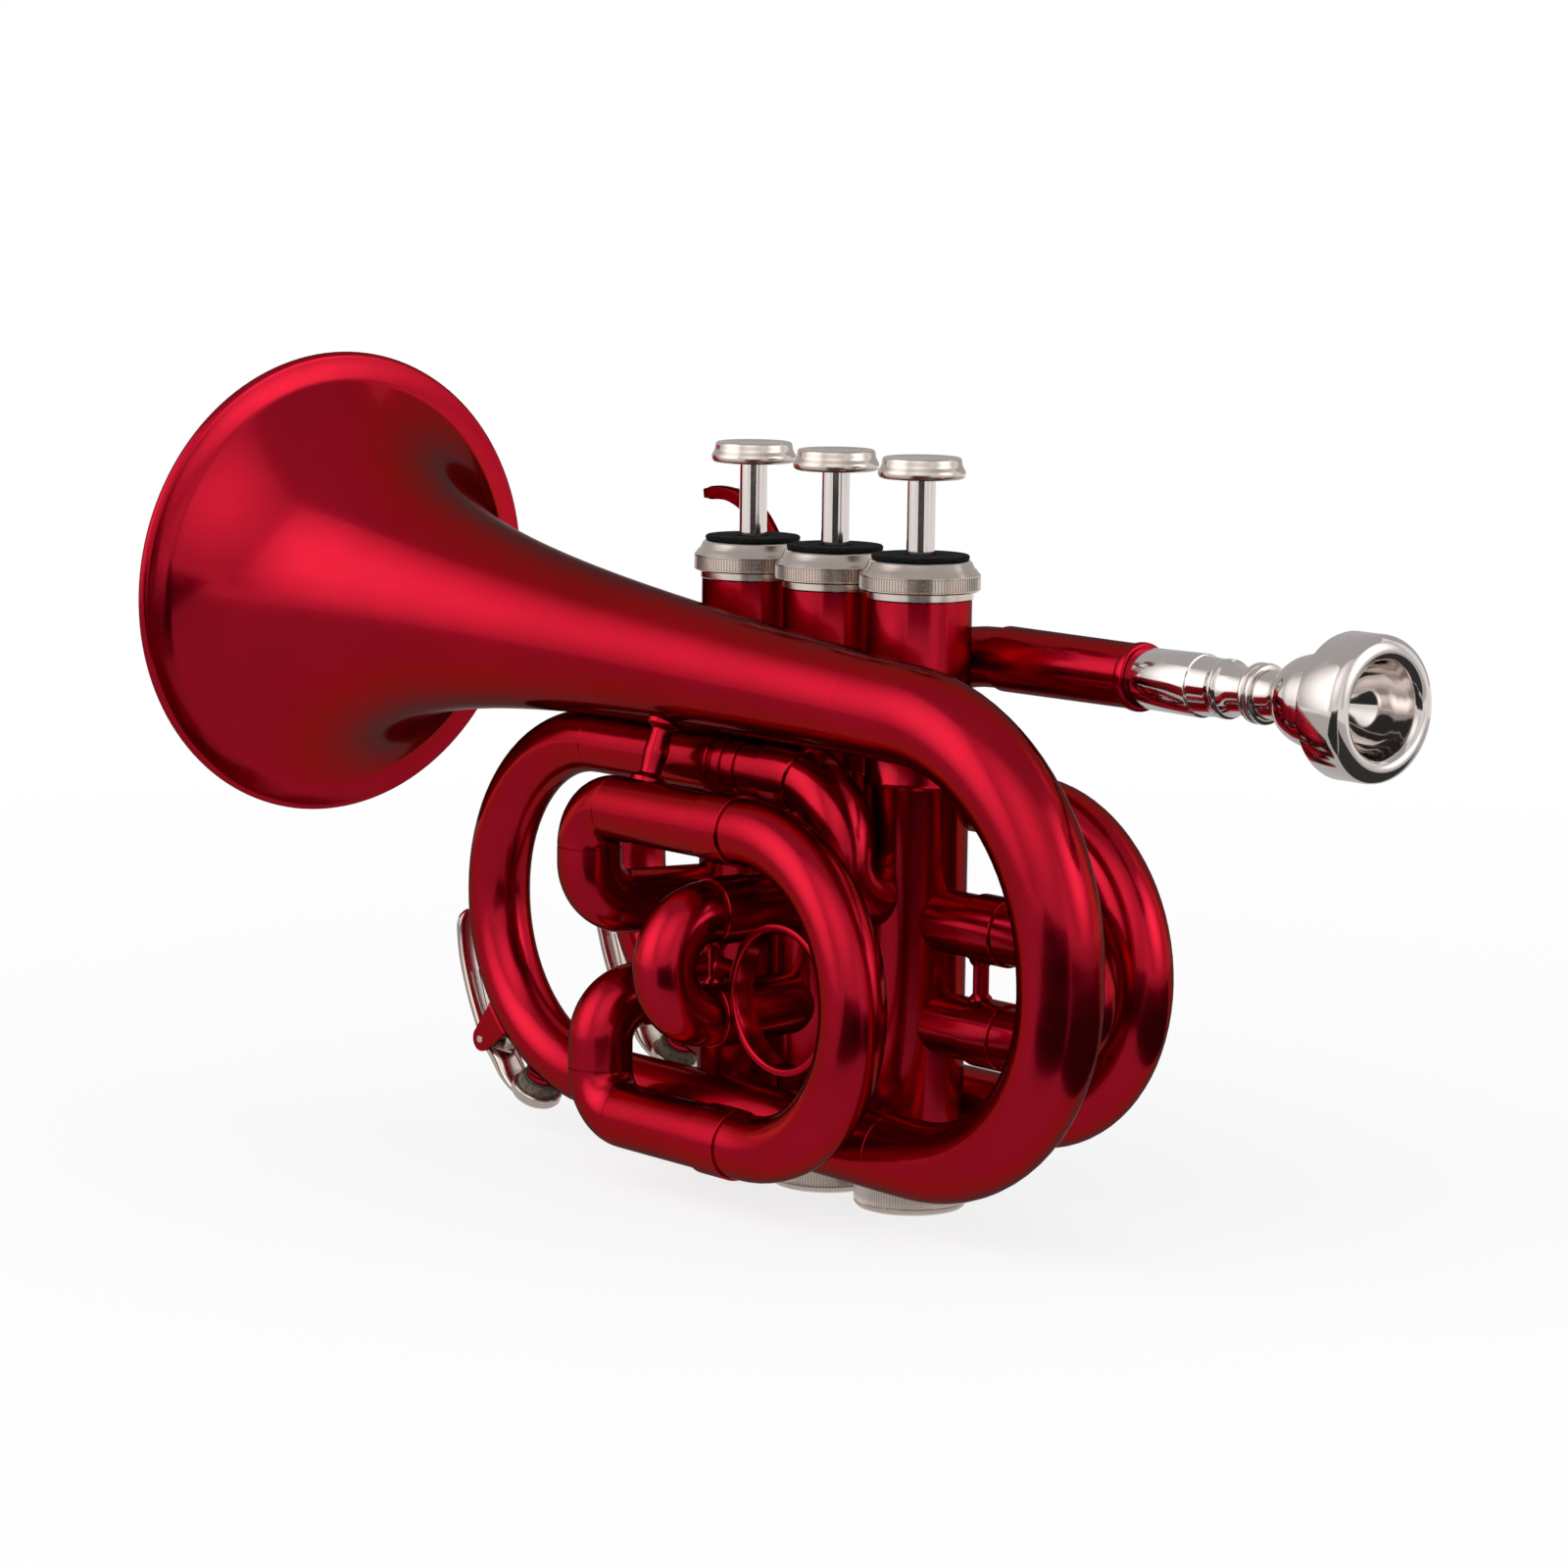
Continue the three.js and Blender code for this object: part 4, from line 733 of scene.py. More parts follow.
# The finger button from its stem round its rim to the dish on its top: radius and height
BUTTON_UNDERSIDE = [(0, 0), (3, 0)]
BUTTON_FLANGE = [(6.7, 0), (7.5, 0.08), (7.97, 0.42), (8.1, 1), (8.03, 1.5), (7.8, 1.92), (7.58, 2.3)]
BUTTON_WAIST = (7.46, 2.7)
BUTTON_EDGE = [BUTTON_WAIST, (7.4, 3.15), (7.32, 3.55), (7.1, 3.88), (6.75, 4), (6.35, 3.95)]
BUTTON_DISH = [(5.4, 3.7), (3, 3.56), (0, 3.55)]


def valve_piece(valve, name, node, outline, height, teeth=0):
    """A turned piece on a valve's axis, whose names take the valve's number."""
    shape = Shape().turned(outline, at(valve * VALVE_PITCH, 0, height), AXIS_Z, teeth=teeth)
    finish_piece(name.format(valve + 1), shape, node.format(valve + 1))


def make_casing(valve):
    bulge = COLLAR_BULGE
    middle = COLLAR_HEIGHT
    radius = CASING_RADIUS
    outline = [
        (CASING_BORE, CASING_BOTTOM - HALF_GAP), (radius - EDGE, CASING_BOTTOM - HALF_GAP),
        (radius, CASING_BOTTOM), (radius, middle - 2 * bulge),
        (radius + bulge * 0.7, middle - bulge * 0.7), (radius + bulge, middle),
        (radius + bulge * 0.7, middle + bulge * 0.7), (radius, middle + 2 * bulge),
        (radius, CASING_TOP), (CASING_BORE, CASING_TOP),
    ]
    valve_piece(valve, "casing_{}", "valve_casing_{}", outline, 0)


def make_top_cap(valve):
    top = TOP_CAP_HEIGHT
    radius = CAP_RADIUS
    shoulder = CAP_BAND + CAP_KNURL
    outline = [
        (CASING_BORE, -HALF_GAP), (CAP_BAND_RADIUS - EDGE, -HALF_GAP), (CAP_BAND_RADIUS, 0),
        (CAP_BAND_RADIUS, CAP_BAND), (radius - 3 * EDGE, CAP_BAND),
        (radius, CAP_BAND + 2 * EDGE), (radius, CAP_BAND + 3 * EDGE),
        (radius, CAP_BAND + 4 * EDGE, KNURL_DEPTH), (radius, shoulder - 4 * EDGE, KNURL_DEPTH),
        (radius, shoulder - 3 * EDGE), (radius, shoulder - 2 * EDGE),
        (radius - 2 * EDGE, shoulder), (radius - 0.8, CAP_SHOULDER),
        (radius - 1.15, CAP_SHOULDER + 0.25), (radius - 1.6, top - 0.45),
        (radius - 2.0, top - 0.05), (radius - 2.4, top),
        (STEM_RADIUS + SEAT_GAP, top), (STEM_RADIUS + SEAT_GAP, top - 1.8),
        (CASING_BORE, top - 1.8),
    ]
    valve_piece(valve, "top_cap_{}_turned", "top_cap_{}", outline, TOP_CAP_BOTTOM, KNURL_TEETH)


def make_bottom_cap(valve):
    radius = BOTTOM_CAP_RADIUS
    top = BOTTOM_CAP_HEIGHT
    outline = [
        (0, 0), (1, 0), (BOTTOM_CAP_FOOT, 0), (BOTTOM_CAP_FOOT + 0.7, 0.25),
        (radius - 0.15, 0.8), (radius, 1.3),
        (radius, 1.5, KNURL_DEPTH), (radius, top - 1.1, KNURL_DEPTH),
        (radius, top - 0.9), (radius - 0.2, top - 0.4),
        (radius - 0.7, top), (CASING_BORE, top), (CASING_BORE, 1.6), (1, 1.6), (0, 1.6),
    ]
    valve_piece(valve, "bottom_cap_{}_turned", "bottom_cap_{}", outline, 0, KNURL_TEETH)


def make_felt(valve):
    inner = STEM_RADIUS + SEAT_GAP
    outline = [
        (inner, -HALF_GAP), (FELT_RADIUS - 0.1, -HALF_GAP), (FELT_RADIUS, 0.1),
        (FELT_RADIUS, FELT_THICKNESS), (FELT_RADIUS - 0.25, FELT_THICKNESS + 0.22),
        (inner + 0.25, FELT_THICKNESS + 0.22), (inner, FELT_THICKNESS),
    ]
    valve_piece(valve, "felt_{}", "cap_felt_{}", outline, FELT_BOTTOM)


def make_stem(valve):
    height = BUTTON_BOTTOM - STEM_BOTTOM
    outline = mirrored([(0, 0), (STEM_RADIUS, 0)], height)
    valve_piece(valve, "stem_{}", "valve_stem_{}", outline, STEM_BOTTOM)


def make_button(valve):
    outline = BUTTON_UNDERSIDE + smooth(BUTTON_FLANGE + [BUTTON_WAIST])
    outline += smooth(BUTTON_EDGE, 3)[1:] + BUTTON_DISH
    valve_piece(valve, "button_{}", "finger_button_{}", outline, BUTTON_BOTTOM)


def make_port_tube(valve):
    start = at(valve * VALVE_PITCH + CASING_BORE, 0, (LOWER_PORT + UPPER_PORT) / 2 + PORT_TUBE_RISE)
    stations = route([start, start + at(VALVE_PITCH - 2 * CASING_BORE, 0, 0)])
    seats = (valve * VALVE_PITCH, (valve + 1) * VALVE_PITCH)
    name = f"port_tube_{valve + 1}"
    tube_piece(name, f"{name}_{valve + 2}", stations, SMALL_RADIUS, seats=seats)


# Bell and near loop

BELL_BACK = at(-cos(BELL_TILT), 0, -sin(BELL_TILT))


def bell_radius(back):
    return BELL_RIM_RADIUS * (1 + back / BELL_FLARE_REACH) ** -BELL_FLARE_POWER


def bell_inside(back):
    slope = BELL_FLARE_POWER * bell_radius(back) / (BELL_FLARE_REACH + back)
    return bell_radius(back) - BELL_WALL * hypot(1, slope)


def make_bell():
    count = 60
    backs = [BELL_LENGTH * (k / count) ** 1.8 for k in range(count + 1)]
    backs[-1] += HALF_GAP
    bead = []
    for k in range(17):
        angle = pi * (1.5 * k / 16 - 0.5)
        reach = BELL_RIM_RADIUS + BELL_BEAD_RADIUS * sin(angle)
        bead.append((reach, BELL_BEAD_RADIUS * (1 - cos(angle))))
    under = bead[-1][1]
    outside = [(bell_radius(back), back) for back in backs if back > under]
    inside = [(bell_inside(back), back) for back in backs if back > bead[0][1]][::-1]
    turned_piece("bell_spun", "bell", bead + outside + inside, BELL_RIM, BELL_BACK, BELL_SIDES)


def make_bell_bow():
    corners = [
        BELL_RIM + BELL_BACK * (BELL_LENGTH + HALF_GAP),
        BELL_RIM + BELL_BACK * (BELL_RIM.x - BELL_BOW_REAR) / cos(BELL_TILT),
        at(BELL_BOW_REAR, BELL_BOW_END_SIDE, NEAR_BOTTOM),
        at(BELL_BOW_END_X + HALF_GAP, BELL_BOW_END_SIDE, NEAR_BOTTOM),
    ]
    stations = route(corners, [BELL_BOW_BEND, BELL_BOW_BEND])
    total = route_length(stations)
    start = bell_radius(BELL_LENGTH)
    outer = [(0, start), (total / 2, BELL_BOW_MIDDLE_RADIUS), (total, BELL_BOW_END_RADIUS)]
    bore = [(way, radius - TUBE_WALL) for way, radius in outer]
    skin_piece("bell_bow_bent", "bell_bow", stations, outer, bore)


NEAR_BEND = (NEAR_TOP - NEAR_BOTTOM) / 2
NEAR_BOW_X = NEAR_FRONT_X - NEAR_BEND


def make_near_runs():
    bottom = route([
        at(BELL_BOW_END_X + HALF_GAP, BELL_BOW_END_SIDE, NEAR_BOTTOM),
        near_at(NEAR_BOW_X + HALF_GAP, NEAR_BOTTOM),
    ])
    total = route_length(bottom)
    outer = eased(total, BELL_BOW_END_RADIUS, LOOP_RADIUS)
    bore = [(0, BELL_BOW_END_RADIUS - TUBE_WALL), (total, LOOP_RADIUS - TUBE_WALL)]
    skin_piece("near_bottom_run_tube", "near_bottom_run", bottom, outer, bore)

    top = route([near_at(NEAR_BOW_X + HALF_GAP, NEAR_TOP), near_at(NEAR_TOP_END_X, NEAR_TOP)])
    total = route_length(top)
    plain = eased(total, LOOP_RADIUS)
    outer = plain[:2]
    for k in (2, 1, 0):
        way = NEAR_BOW_X - NEAR_FERRULE_X - k * NEAR_FERRULE_PITCH - NEAR_FERRULE_RING / 2
        outer += ferrule(way, way + NEAR_FERRULE_RING, LOOP_RADIUS)
    outer += plain[2:]
    bore = LOOP_RADIUS - TUBE_WALL
    skin_piece("near_top_run_tube", "near_top_run", top, outer, [(0, bore), (total, bore)])

    branch = route(
        [
            near_at(NEAR_TOP_END_X, NEAR_TOP), near_at(BRANCH_X, NEAR_TOP),
            near_at(BRANCH_X, BRANCH_PORT), at(BRANCH_X, CASING_BORE, BRANCH_PORT),
        ],
        [BRANCH_BEND, TIGHT_BEND],
    )
    tube_piece("valve_1_branch_tube", "valve_1_branch", branch, start_ferrule=True, seats=(None, 0))


def seat_place(seat, turn, height):
    """A place by its turn below a bow's front and its height over the bow."""
    centre, bend = seat
    reach = bend + LOOP_RADIUS + height
    return centre + at(reach * cos(turn), 0, -reach * sin(turn))


def seat_way(turn):
    return at(cos(turn), 0, -sin(turn))


NEAR_SEAT = (near_at(NEAR_BOW_X, NEAR_BOTTOM + NEAR_BEND), NEAR_BEND)
FAR_BEND = (FAR_TOP - FAR_BOTTOM) / 2
FAR_SEAT = (far_at(FAR_FRONT_X - FAR_BEND, FAR_BOTTOM + FAR_BEND), FAR_BEND)


def add_spout(shape, seat):
    """The short spout under the water key's cork, open at its end."""
    top = SPOUT_RISE + TUBE_WALL
    outline = [
        (SPOUT_BORE_RADIUS, 0), (SPOUT_RADIUS + 0.5, 0), (SPOUT_RADIUS + 0.4, TUBE_WALL),
        (SPOUT_RADIUS, TUBE_WALL + 0.5), (SPOUT_RADIUS, top - EDGE), (SPOUT_RADIUS - EDGE, top),
        (SPOUT_BORE_RADIUS, top),
    ]
    return shape.turned(outline, seat_place(seat, SPOUT_TURN, -TUBE_WALL), seat_way(SPOUT_TURN), 40)


def make_near_front_bow():
    start = NEAR_BOW_X + HALF_GAP
    stations = bow(near_at, start, NEAR_FRONT_X, NEAR_BOTTOM, NEAR_TOP, NEAR_BEND - SEAT_GAP)
    shape = plain_tube(Shape(), stations, LOOP_RADIUS)
    finish_piece("near_front_bow_bent", add_spout(shape, NEAR_SEAT), "near_front_bow")


# Leadpipe, far loop and main tuning slide

def make_leadpipe():
    joint_x = RECEIVER_JOINT_X + HALF_GAP
    receiver = route([far_at(RECEIVER_END_X, LEADPIPE_HEIGHT), far_at(joint_x, LEADPIPE_HEIGHT)])
    total = route_length(receiver)
    rise = RECEIVER_BEAD_RADIUS - RECEIVER_RADIUS
    bead = []
    for k in range(9):
        angle = pi * k / 8
        way = RECEIVER_BEAD_LENGTH * (1 - cos(angle)) / 2
        bead.append((way, RECEIVER_RADIUS + rise * sin(angle) ** 0.6))
    outer = bead + eased(total, RECEIVER_END_RADIUS)[2:]
    mouth = MOUTHPIECE_RIM_RADIUS * SHANK_MOUTH_SHARE + SEAT_GAP
    seat = MOUTHPIECE_RIM_RADIUS * SHANK_TIP_SHARE + SEAT_GAP
    bore = [(0, mouth), (MOUTHPIECE_SHANK_LENGTH, seat), (total, seat)]
    skin_piece("receiver_tube", "mouthpiece_receiver", receiver, outer, bore)

    pipe = route(
        [
            far_at(joint_x, LEADPIPE_HEIGHT), far_at(LEADPIPE_DROP_START_X, LEADPIPE_HEIGHT),
            far_at(LEADPIPE_DROP_END_X, FAR_TOP), far_at(SLEEVE_END_X + HALF_GAP, FAR_TOP),
        ],
        [LEADPIPE_BEND, LEADPIPE_BEND],
    )
    total = route_length(pipe)
    sleeve = total - (SLEEVE_END_X - SLEEVE_START_X)
    outer = [(0, LEADPIPE_RADIUS), (sleeve, LEADPIPE_RADIUS), (sleeve, LOOP_RADIUS - EDGE)]
    outer += [(sleeve + EDGE, LOOP_RADIUS)] + eased(total, LOOP_RADIUS)[2:]
    narrow = LEADPIPE_RADIUS - TUBE_WALL
    wide = LOOP_RADIUS - TUBE_WALL
    bore = [(0, narrow), (sleeve + SEAT_GAP, narrow), (sleeve + SEAT_GAP, wide), (total, wide)]
    skin_piece("leadpipe_tube", "leadpipe", pipe, outer, bore)


FAR_REAR_BEND = (FAR_REAR_TOP - FAR_BOTTOM) / 2
FAR_REAR_BOW_X = FAR_REAR_X + FAR_REAR_BEND


def make_far_loop():
    start = FAR_REAR_BOW_X + HALF_GAP
    bottom = route([far_at(SLEEVE_END_X + HALF_GAP, FAR_BOTTOM), far_at(start, FAR_BOTTOM)])
    tube_piece("far_bottom_run_tube", "far_bottom_run", bottom, start_ferrule=True)

    rear = bow(far_at, start, FAR_REAR_X, FAR_BOTTOM, FAR_REAR_TOP, FAR_REAR_BEND)
    tube_piece("far_rear_bow_bent", "far_rear_bow", rear)

    entry = route(
        [
            far_at(start, FAR_REAR_TOP), far_at(VALVE_3_ENTRY_X, FAR_REAR_TOP),
            at(VALVE_3_ENTRY_X, -CASING_BORE, FAR_REAR_TOP),
        ],
        [TIGHT_BEND],
    )
    seats = (None, 2 * VALVE_PITCH)
    tube_piece("valve_3_branch_tube", "valve_3_branch", entry, start_ferrule=True, seats=seats)


def make_main_slide():
    start = SLEEVE_END_X + HALF_GAP - MAIN_SLIDE_LEG
    stations = bow(far_at, start, FAR_FRONT_X, FAR_TOP, FAR_BOTTOM, FAR_BEND)
    shape = crook(stations, LOOP_RADIUS, MAIN_SLIDE_LEG)
    finish_piece("main_slide_bent", add_spout(shape, FAR_SEAT), "main_tuning_slide")


# Mouthpiece

# Shares of the outer length and the rim's radius, from the shank's tip round the rim and down the cup.
# The tip lies inside the receiver, at -1 shank length.
MOUTHPIECE_RUNS = [
    [(-1, 0.26), (-1, SHANK_TIP_SHARE), (0, SHANK_MOUTH_SHARE), (0, 0.422), (0.003, 0.43)],
    [(0.255, 0.446), (0.258, 0.44), (0.26, 0.42)],
    smooth([(0.262, 0.418), (0.3, 0.409), (0.335, 0.402)]),
    [(0.338, 0.403), (0.344, 0.413), (0.352, 0.416), (0.356, 0.402)],
    [(0.359, 0.402), (0.363, 0.414), (0.37, 0.412), (0.374, 0.39)],
    smooth([(0.376, 0.378), (0.4, 0.347), (0.43, 0.335), (0.472, 0.33)]),
    smooth([(0.474, 0.35), (0.477, 0.405), (0.487, 0.424), (0.497, 0.405), (0.5, 0.37)], 3),
    smooth([(0.502, 0.37), (0.505, 0.405), (0.515, 0.424), (0.525, 0.405), (0.528, 0.35)], 3),
    smooth([(0.532, 0.347), (0.565, 0.34), (0.596, 0.343), (0.609, 0.375), (0.618, 0.43), (0.635, 0.5)]),
    smooth([(0.64, 0.52), (0.668, 0.588), (0.71, 0.638), (0.75, 0.652), (0.786, 0.658), (0.81, 0.68),
            (0.826, 0.75)]),
    [(0.832, 0.84), (0.835, 0.95), (0.84, 0.985), (0.85, 1)],
    smooth([(0.955, 1), (0.969, 0.99), (0.982, 0.96), (0.993, 0.905), (1, 0.82), (0.998, 0.745),
            (0.988, 0.685)]),
    smooth([(0.975, 0.657), (0.955, 0.638), (0.93, 0.62), (0.9, 0.585), (0.86, 0.49), (0.82, 0.33),
            (0.79, 0.2)]),
    [(0.77, 0.15), (0.7, 0.145), (0.6, 0.145)],
]


def make_mouthpiece():
    outline = []
    for along, across in [point for run in MOUTHPIECE_RUNS for point in run]:
        length = MOUTHPIECE_SHANK_LENGTH if along < 0 else MOUTHPIECE_OUTER_LENGTH
        outline.append((across * MOUTHPIECE_RIM_RADIUS, along * length))
    origin = far_at(RECEIVER_END_X - HALF_GAP, LEADPIPE_HEIGHT)
    turned_piece("mouthpiece_turned", "mouthpiece", outline, origin, -AXIS_X, 96, "chrome_plate")


# Slides of the valves

PORT_BEND = (UPPER_PORT - LOWER_PORT) / 2


def make_small_slide(name, x, way, tube_end, leg, bow_start, brace_reach):
    def place(reach, height):
        return at(x, 0, height) + way * reach

    tubes = Shape()
    for height in (UPPER_PORT, LOWER_PORT):
        stations = route([place(CASING_BORE, height), place(tube_end + HALF_GAP, height)])
        plain_tube(tubes, stations, SMALL_RADIUS, end_ferrule=True, seats=(x, None))
    rail = SMALL_RADIUS - TUBE_WALL / 2
    reach = UPPER_PORT - LOWER_PORT - 2 * rail
    post = mirrored([(0, 0), (2.4, 0), (2.1, 0.9), (RING_POST_RADIUS, 1.6)], reach)
    tubes.turned(post, place(brace_reach, LOWER_PORT + rail), AXIS_Z, 32)
    finish_piece(f"{name}_slide_tubes_tubes", tubes, f"{name}_slide_tubes")

    start = tube_end + HALF_GAP - leg
    stations = bow(place, start, bow_start + PORT_BEND, UPPER_PORT, LOWER_PORT, PORT_BEND)
    finish_piece(f"{name}_valve_slide_crook", crook(stations, SMALL_RADIUS, leg), f"{name}_valve_slide")


def make_third_slide():
    joint = THIRD_JOINT_X + HALF_GAP
    for name, height, turn_x, cross in (
        ("third_slide_upper_tube", THIRD_TOP, THIRD_UPPER_TURN_X, THIRD_UPPER_CROSS),
        ("third_slide_lower_tube", THIRD_BOTTOM, THIRD_LOWER_TURN_X, THIRD_LOWER_CROSS),
    ):
        inward = (at(THIRD_PORT_X, 0, cross) - third_at(turn_x, cross)).normalized()
        reach = (THIRD_SIDE - CASING_BORE) / -inward.y
        corners = [
            third_at(joint, height), third_at(turn_x, height), third_at(turn_x, cross),
            third_at(turn_x, cross) + inward * reach,
        ]
        stations = route(corners, [ELBOW_BEND, ELBOW_BEND])
        elbow_start = turn_x - ELBOW_BEND - joint
        elbow_end = elbow_start + ELBOW_BEND * pi / 2
        seams = [elbow_start, elbow_end]
        seats = (None, 2 * VALVE_PITCH)
        tube_piece(f"{name}_bent", name, stations, start_ferrule=True, seams=seams, seats=seats)

    bend = (THIRD_TOP - THIRD_BOTTOM) / 2
    leg_end = THIRD_JOINT_X + HALF_GAP + THIRD_LEG
    stations = bow(third_at, leg_end, THIRD_REAR, THIRD_TOP, THIRD_BOTTOM, bend)
    finish_piece("third_slide_crook", crook(stations, LOOP_RADIUS, THIRD_LEG), "third_valve_slide")


# Fittings

def squared(share):
    """Bends a circle's share towards a square with round corners."""
    return copysign(abs(share) ** RING_SQUARENESS, share)


def make_finger_ring():
    middle = RING_RADIUS - RING_WALL / 2
    outline = [
        (middle + squared(c) * RING_WALL / 2, squared(s) * RING_WIDTH / 2) for c, s in circle(24)
    ]
    side = RING_NEAR_SIDE - RING_WIDTH / 2
    shape = Shape().turned(outline, at(RING_X, side, RING_HEIGHT), AXIS_Y, 96)
    start = RING_X + middle - RING_WALL / 4
    end = SECOND_X - RING_POST_RADIUS
    length = end - start
    stem = [(0, 0), (2.2, 0), (1.7, 0.8), (RING_POST_RADIUS, 1.6)]
    stem += [(RING_CONE_RADIUS, length - 1), (RING_CONE_RADIUS, length), (0, length)]
    shape.turned(stem, at(start, RING_STEM_SIDE, RING_STEM_HEIGHT), AXIS_X, 32)
    finish_piece("finger_ring", shape, "third_finger_ring")


# Shares of the hook's reach and rise
HOOK_SPINE = [
    (0, -0.02), (0.02, 0.35), (0.11, 0.57), (0.25, 0.74),
    (0.42, 0.885), (0.62, 0.965), (0.82, 0.985), (1, 0.97),
]


def make_hook():
    base = FAR_TOP + LOOP_RADIUS
    places = []
    for x, z in smooth(HOOK_SPINE, 8):
        places.append(far_at(HOOK_X + x * HOOK_REACH, base + SEAT_GAP + z * HOOK_RISE))
    count = len(places)
    scale = []
    for k in range(count):
        tip = max(0, 1 - (count - 1 - k) / 5)
        scale.append(sqrt(max(0.02, 1 - tip * tip)))
    widths = [HOOK_WIDTH * s for s in scale]
    thick = [HOOK_THICKNESS * (1 - 0.04 * k / count) * s for k, s in enumerate(scale)]
    shape = Shape().ribbon(places, widths, thick, corner_share=0.9, corner_steps=6)
    foot = [(0, -0.8), (HOOK_FOOT_RADIUS, -0.8), (HOOK_FOOT_RADIUS, 0.5)]
    foot += [(HOOK_FOOT_RADIUS - 0.4, 1), (2.6, 1.5), (0, 1.8)]
    shape.turned(foot, far_at(HOOK_X, base), AXIS_Z, 48)
    finish_piece("hook", shape, "little_finger_hook")


def make_bell_brace():
    bell_place = BELL_RIM + BELL_BACK * (BELL_RIM.x - BRACE_X) / cos(BELL_TILT)
    tube_place = third_at(BRACE_X, THIRD_TOP)
    way = tube_place - bell_place
    start = bell_radius((BELL_RIM.x - BRACE_X) / cos(BELL_TILT)) - 0.5
    end = way.length - LOOP_RADIUS + 0.5
    waist = BRACE_RADIUS * BRACE_WAIST_SHARE
    half = [(BRACE_FOOT_RADIUS, 0), (BRACE_FOOT_RADIUS, 0.8)]
    middle = (BRACE_RADIUS, (end - start) / 2)
    half += smooth([(BRACE_FOOT_RADIUS - 0.3, 1.1), (waist + 0.3, 1.6), (waist, 2.3), middle])
    outline = [(0, start)] + [(radius, start + height) for radius, height in half]
    outline += [(radius, end - height) for radius, height in reversed(half[:-1])] + [(0, end)]
    turned_piece("bell_brace_spindle", "bell_brace", outline, bell_place, way.normalized(), 40)


# Water keys

# Degrees below the front of the bow, then the outer face's height and the thickness as shares.
KEY_SPINE = [
    (7.5, 0.88, 0.8), (10.5, 1, 1), (18, 1.16, 1), (26, 1.26, 1), (36, 1.42, 1), (41, 1.54, 0.9),
    (47.5, 1.64, 2.1), (53, 1.68, 1.55), (58, 1.56, 1), (62.3, 1.36, 1), (68, 1.28, 1),
]


def make_key_lever(name, seat, pivot):
    places = []
    thick = []
    for turn, height, share in smooth(KEY_SPINE, 8):
        thick.append(share * KEY_THICKNESS)
        places.append(seat_place(seat, radians(turn), height * KEY_STANDOFF - thick[-1] / 2))
    widths = []
    for place in places:
        end = min((place - places[0]).length, (place - places[-1]).length)
        short = 1 - min(1, (end + 0.15) / (KEY_WIDTH / 2))
        widths.append(KEY_WIDTH * sqrt(1 - short**2))
    shape = Shape().ribbon(places, widths, thick, corner_share=0.7)
    way = seat_way(SPOUT_TURN)
    cork_face = SPOUT_RISE + HALF_GAP
    cork_back = cork_face + CORK_THICKNESS + HALF_GAP
    cup_face = cork_face + CORK_THICKNESS * CORK_HOLD_SHARE
    outer = CORK_RADIUS + SEAT_GAP + 0.6
    inner = CORK_RADIUS + HALF_GAP
    cup = [
        (inner, cup_face), (outer - 0.2, cup_face), (outer, cup_face + 0.2), (outer, cork_back + 0.4),
        (outer - 0.3, cork_back + 0.9), (outer - 1, cork_back + KEY_THICKNESS),
        (0.4, cork_back + KEY_THICKNESS), (0.4, cork_back), (inner, cork_back),
    ]
    shape.turned(cup, seat_place(seat, SPOUT_TURN, 0), way, 48)
    side = at(0, -KEY_WIDTH / 2, 0)
    bore = KEY_PIN_RADIUS + HALF_GAP
    barrel = mirrored([(bore, 0), (KEY_BARREL_RADIUS, 0)], KEY_BARREL_LENGTH)
    shape.turned(barrel, pivot + side, AXIS_Y, 40)
    finish_piece(f"{name}_lever_bent", shape, f"{name}_lever")

    cork = [
        (0, cork_face), (CORK_RADIUS - 0.3, cork_face), (CORK_RADIUS, cork_face + 0.3),
        (CORK_RADIUS, cork_back), (0, cork_back),
    ]
    turned_piece(f"{name}_cork_disc", f"{name}_cork", cork, seat_place(seat, SPOUT_TURN, 0), way, 48)


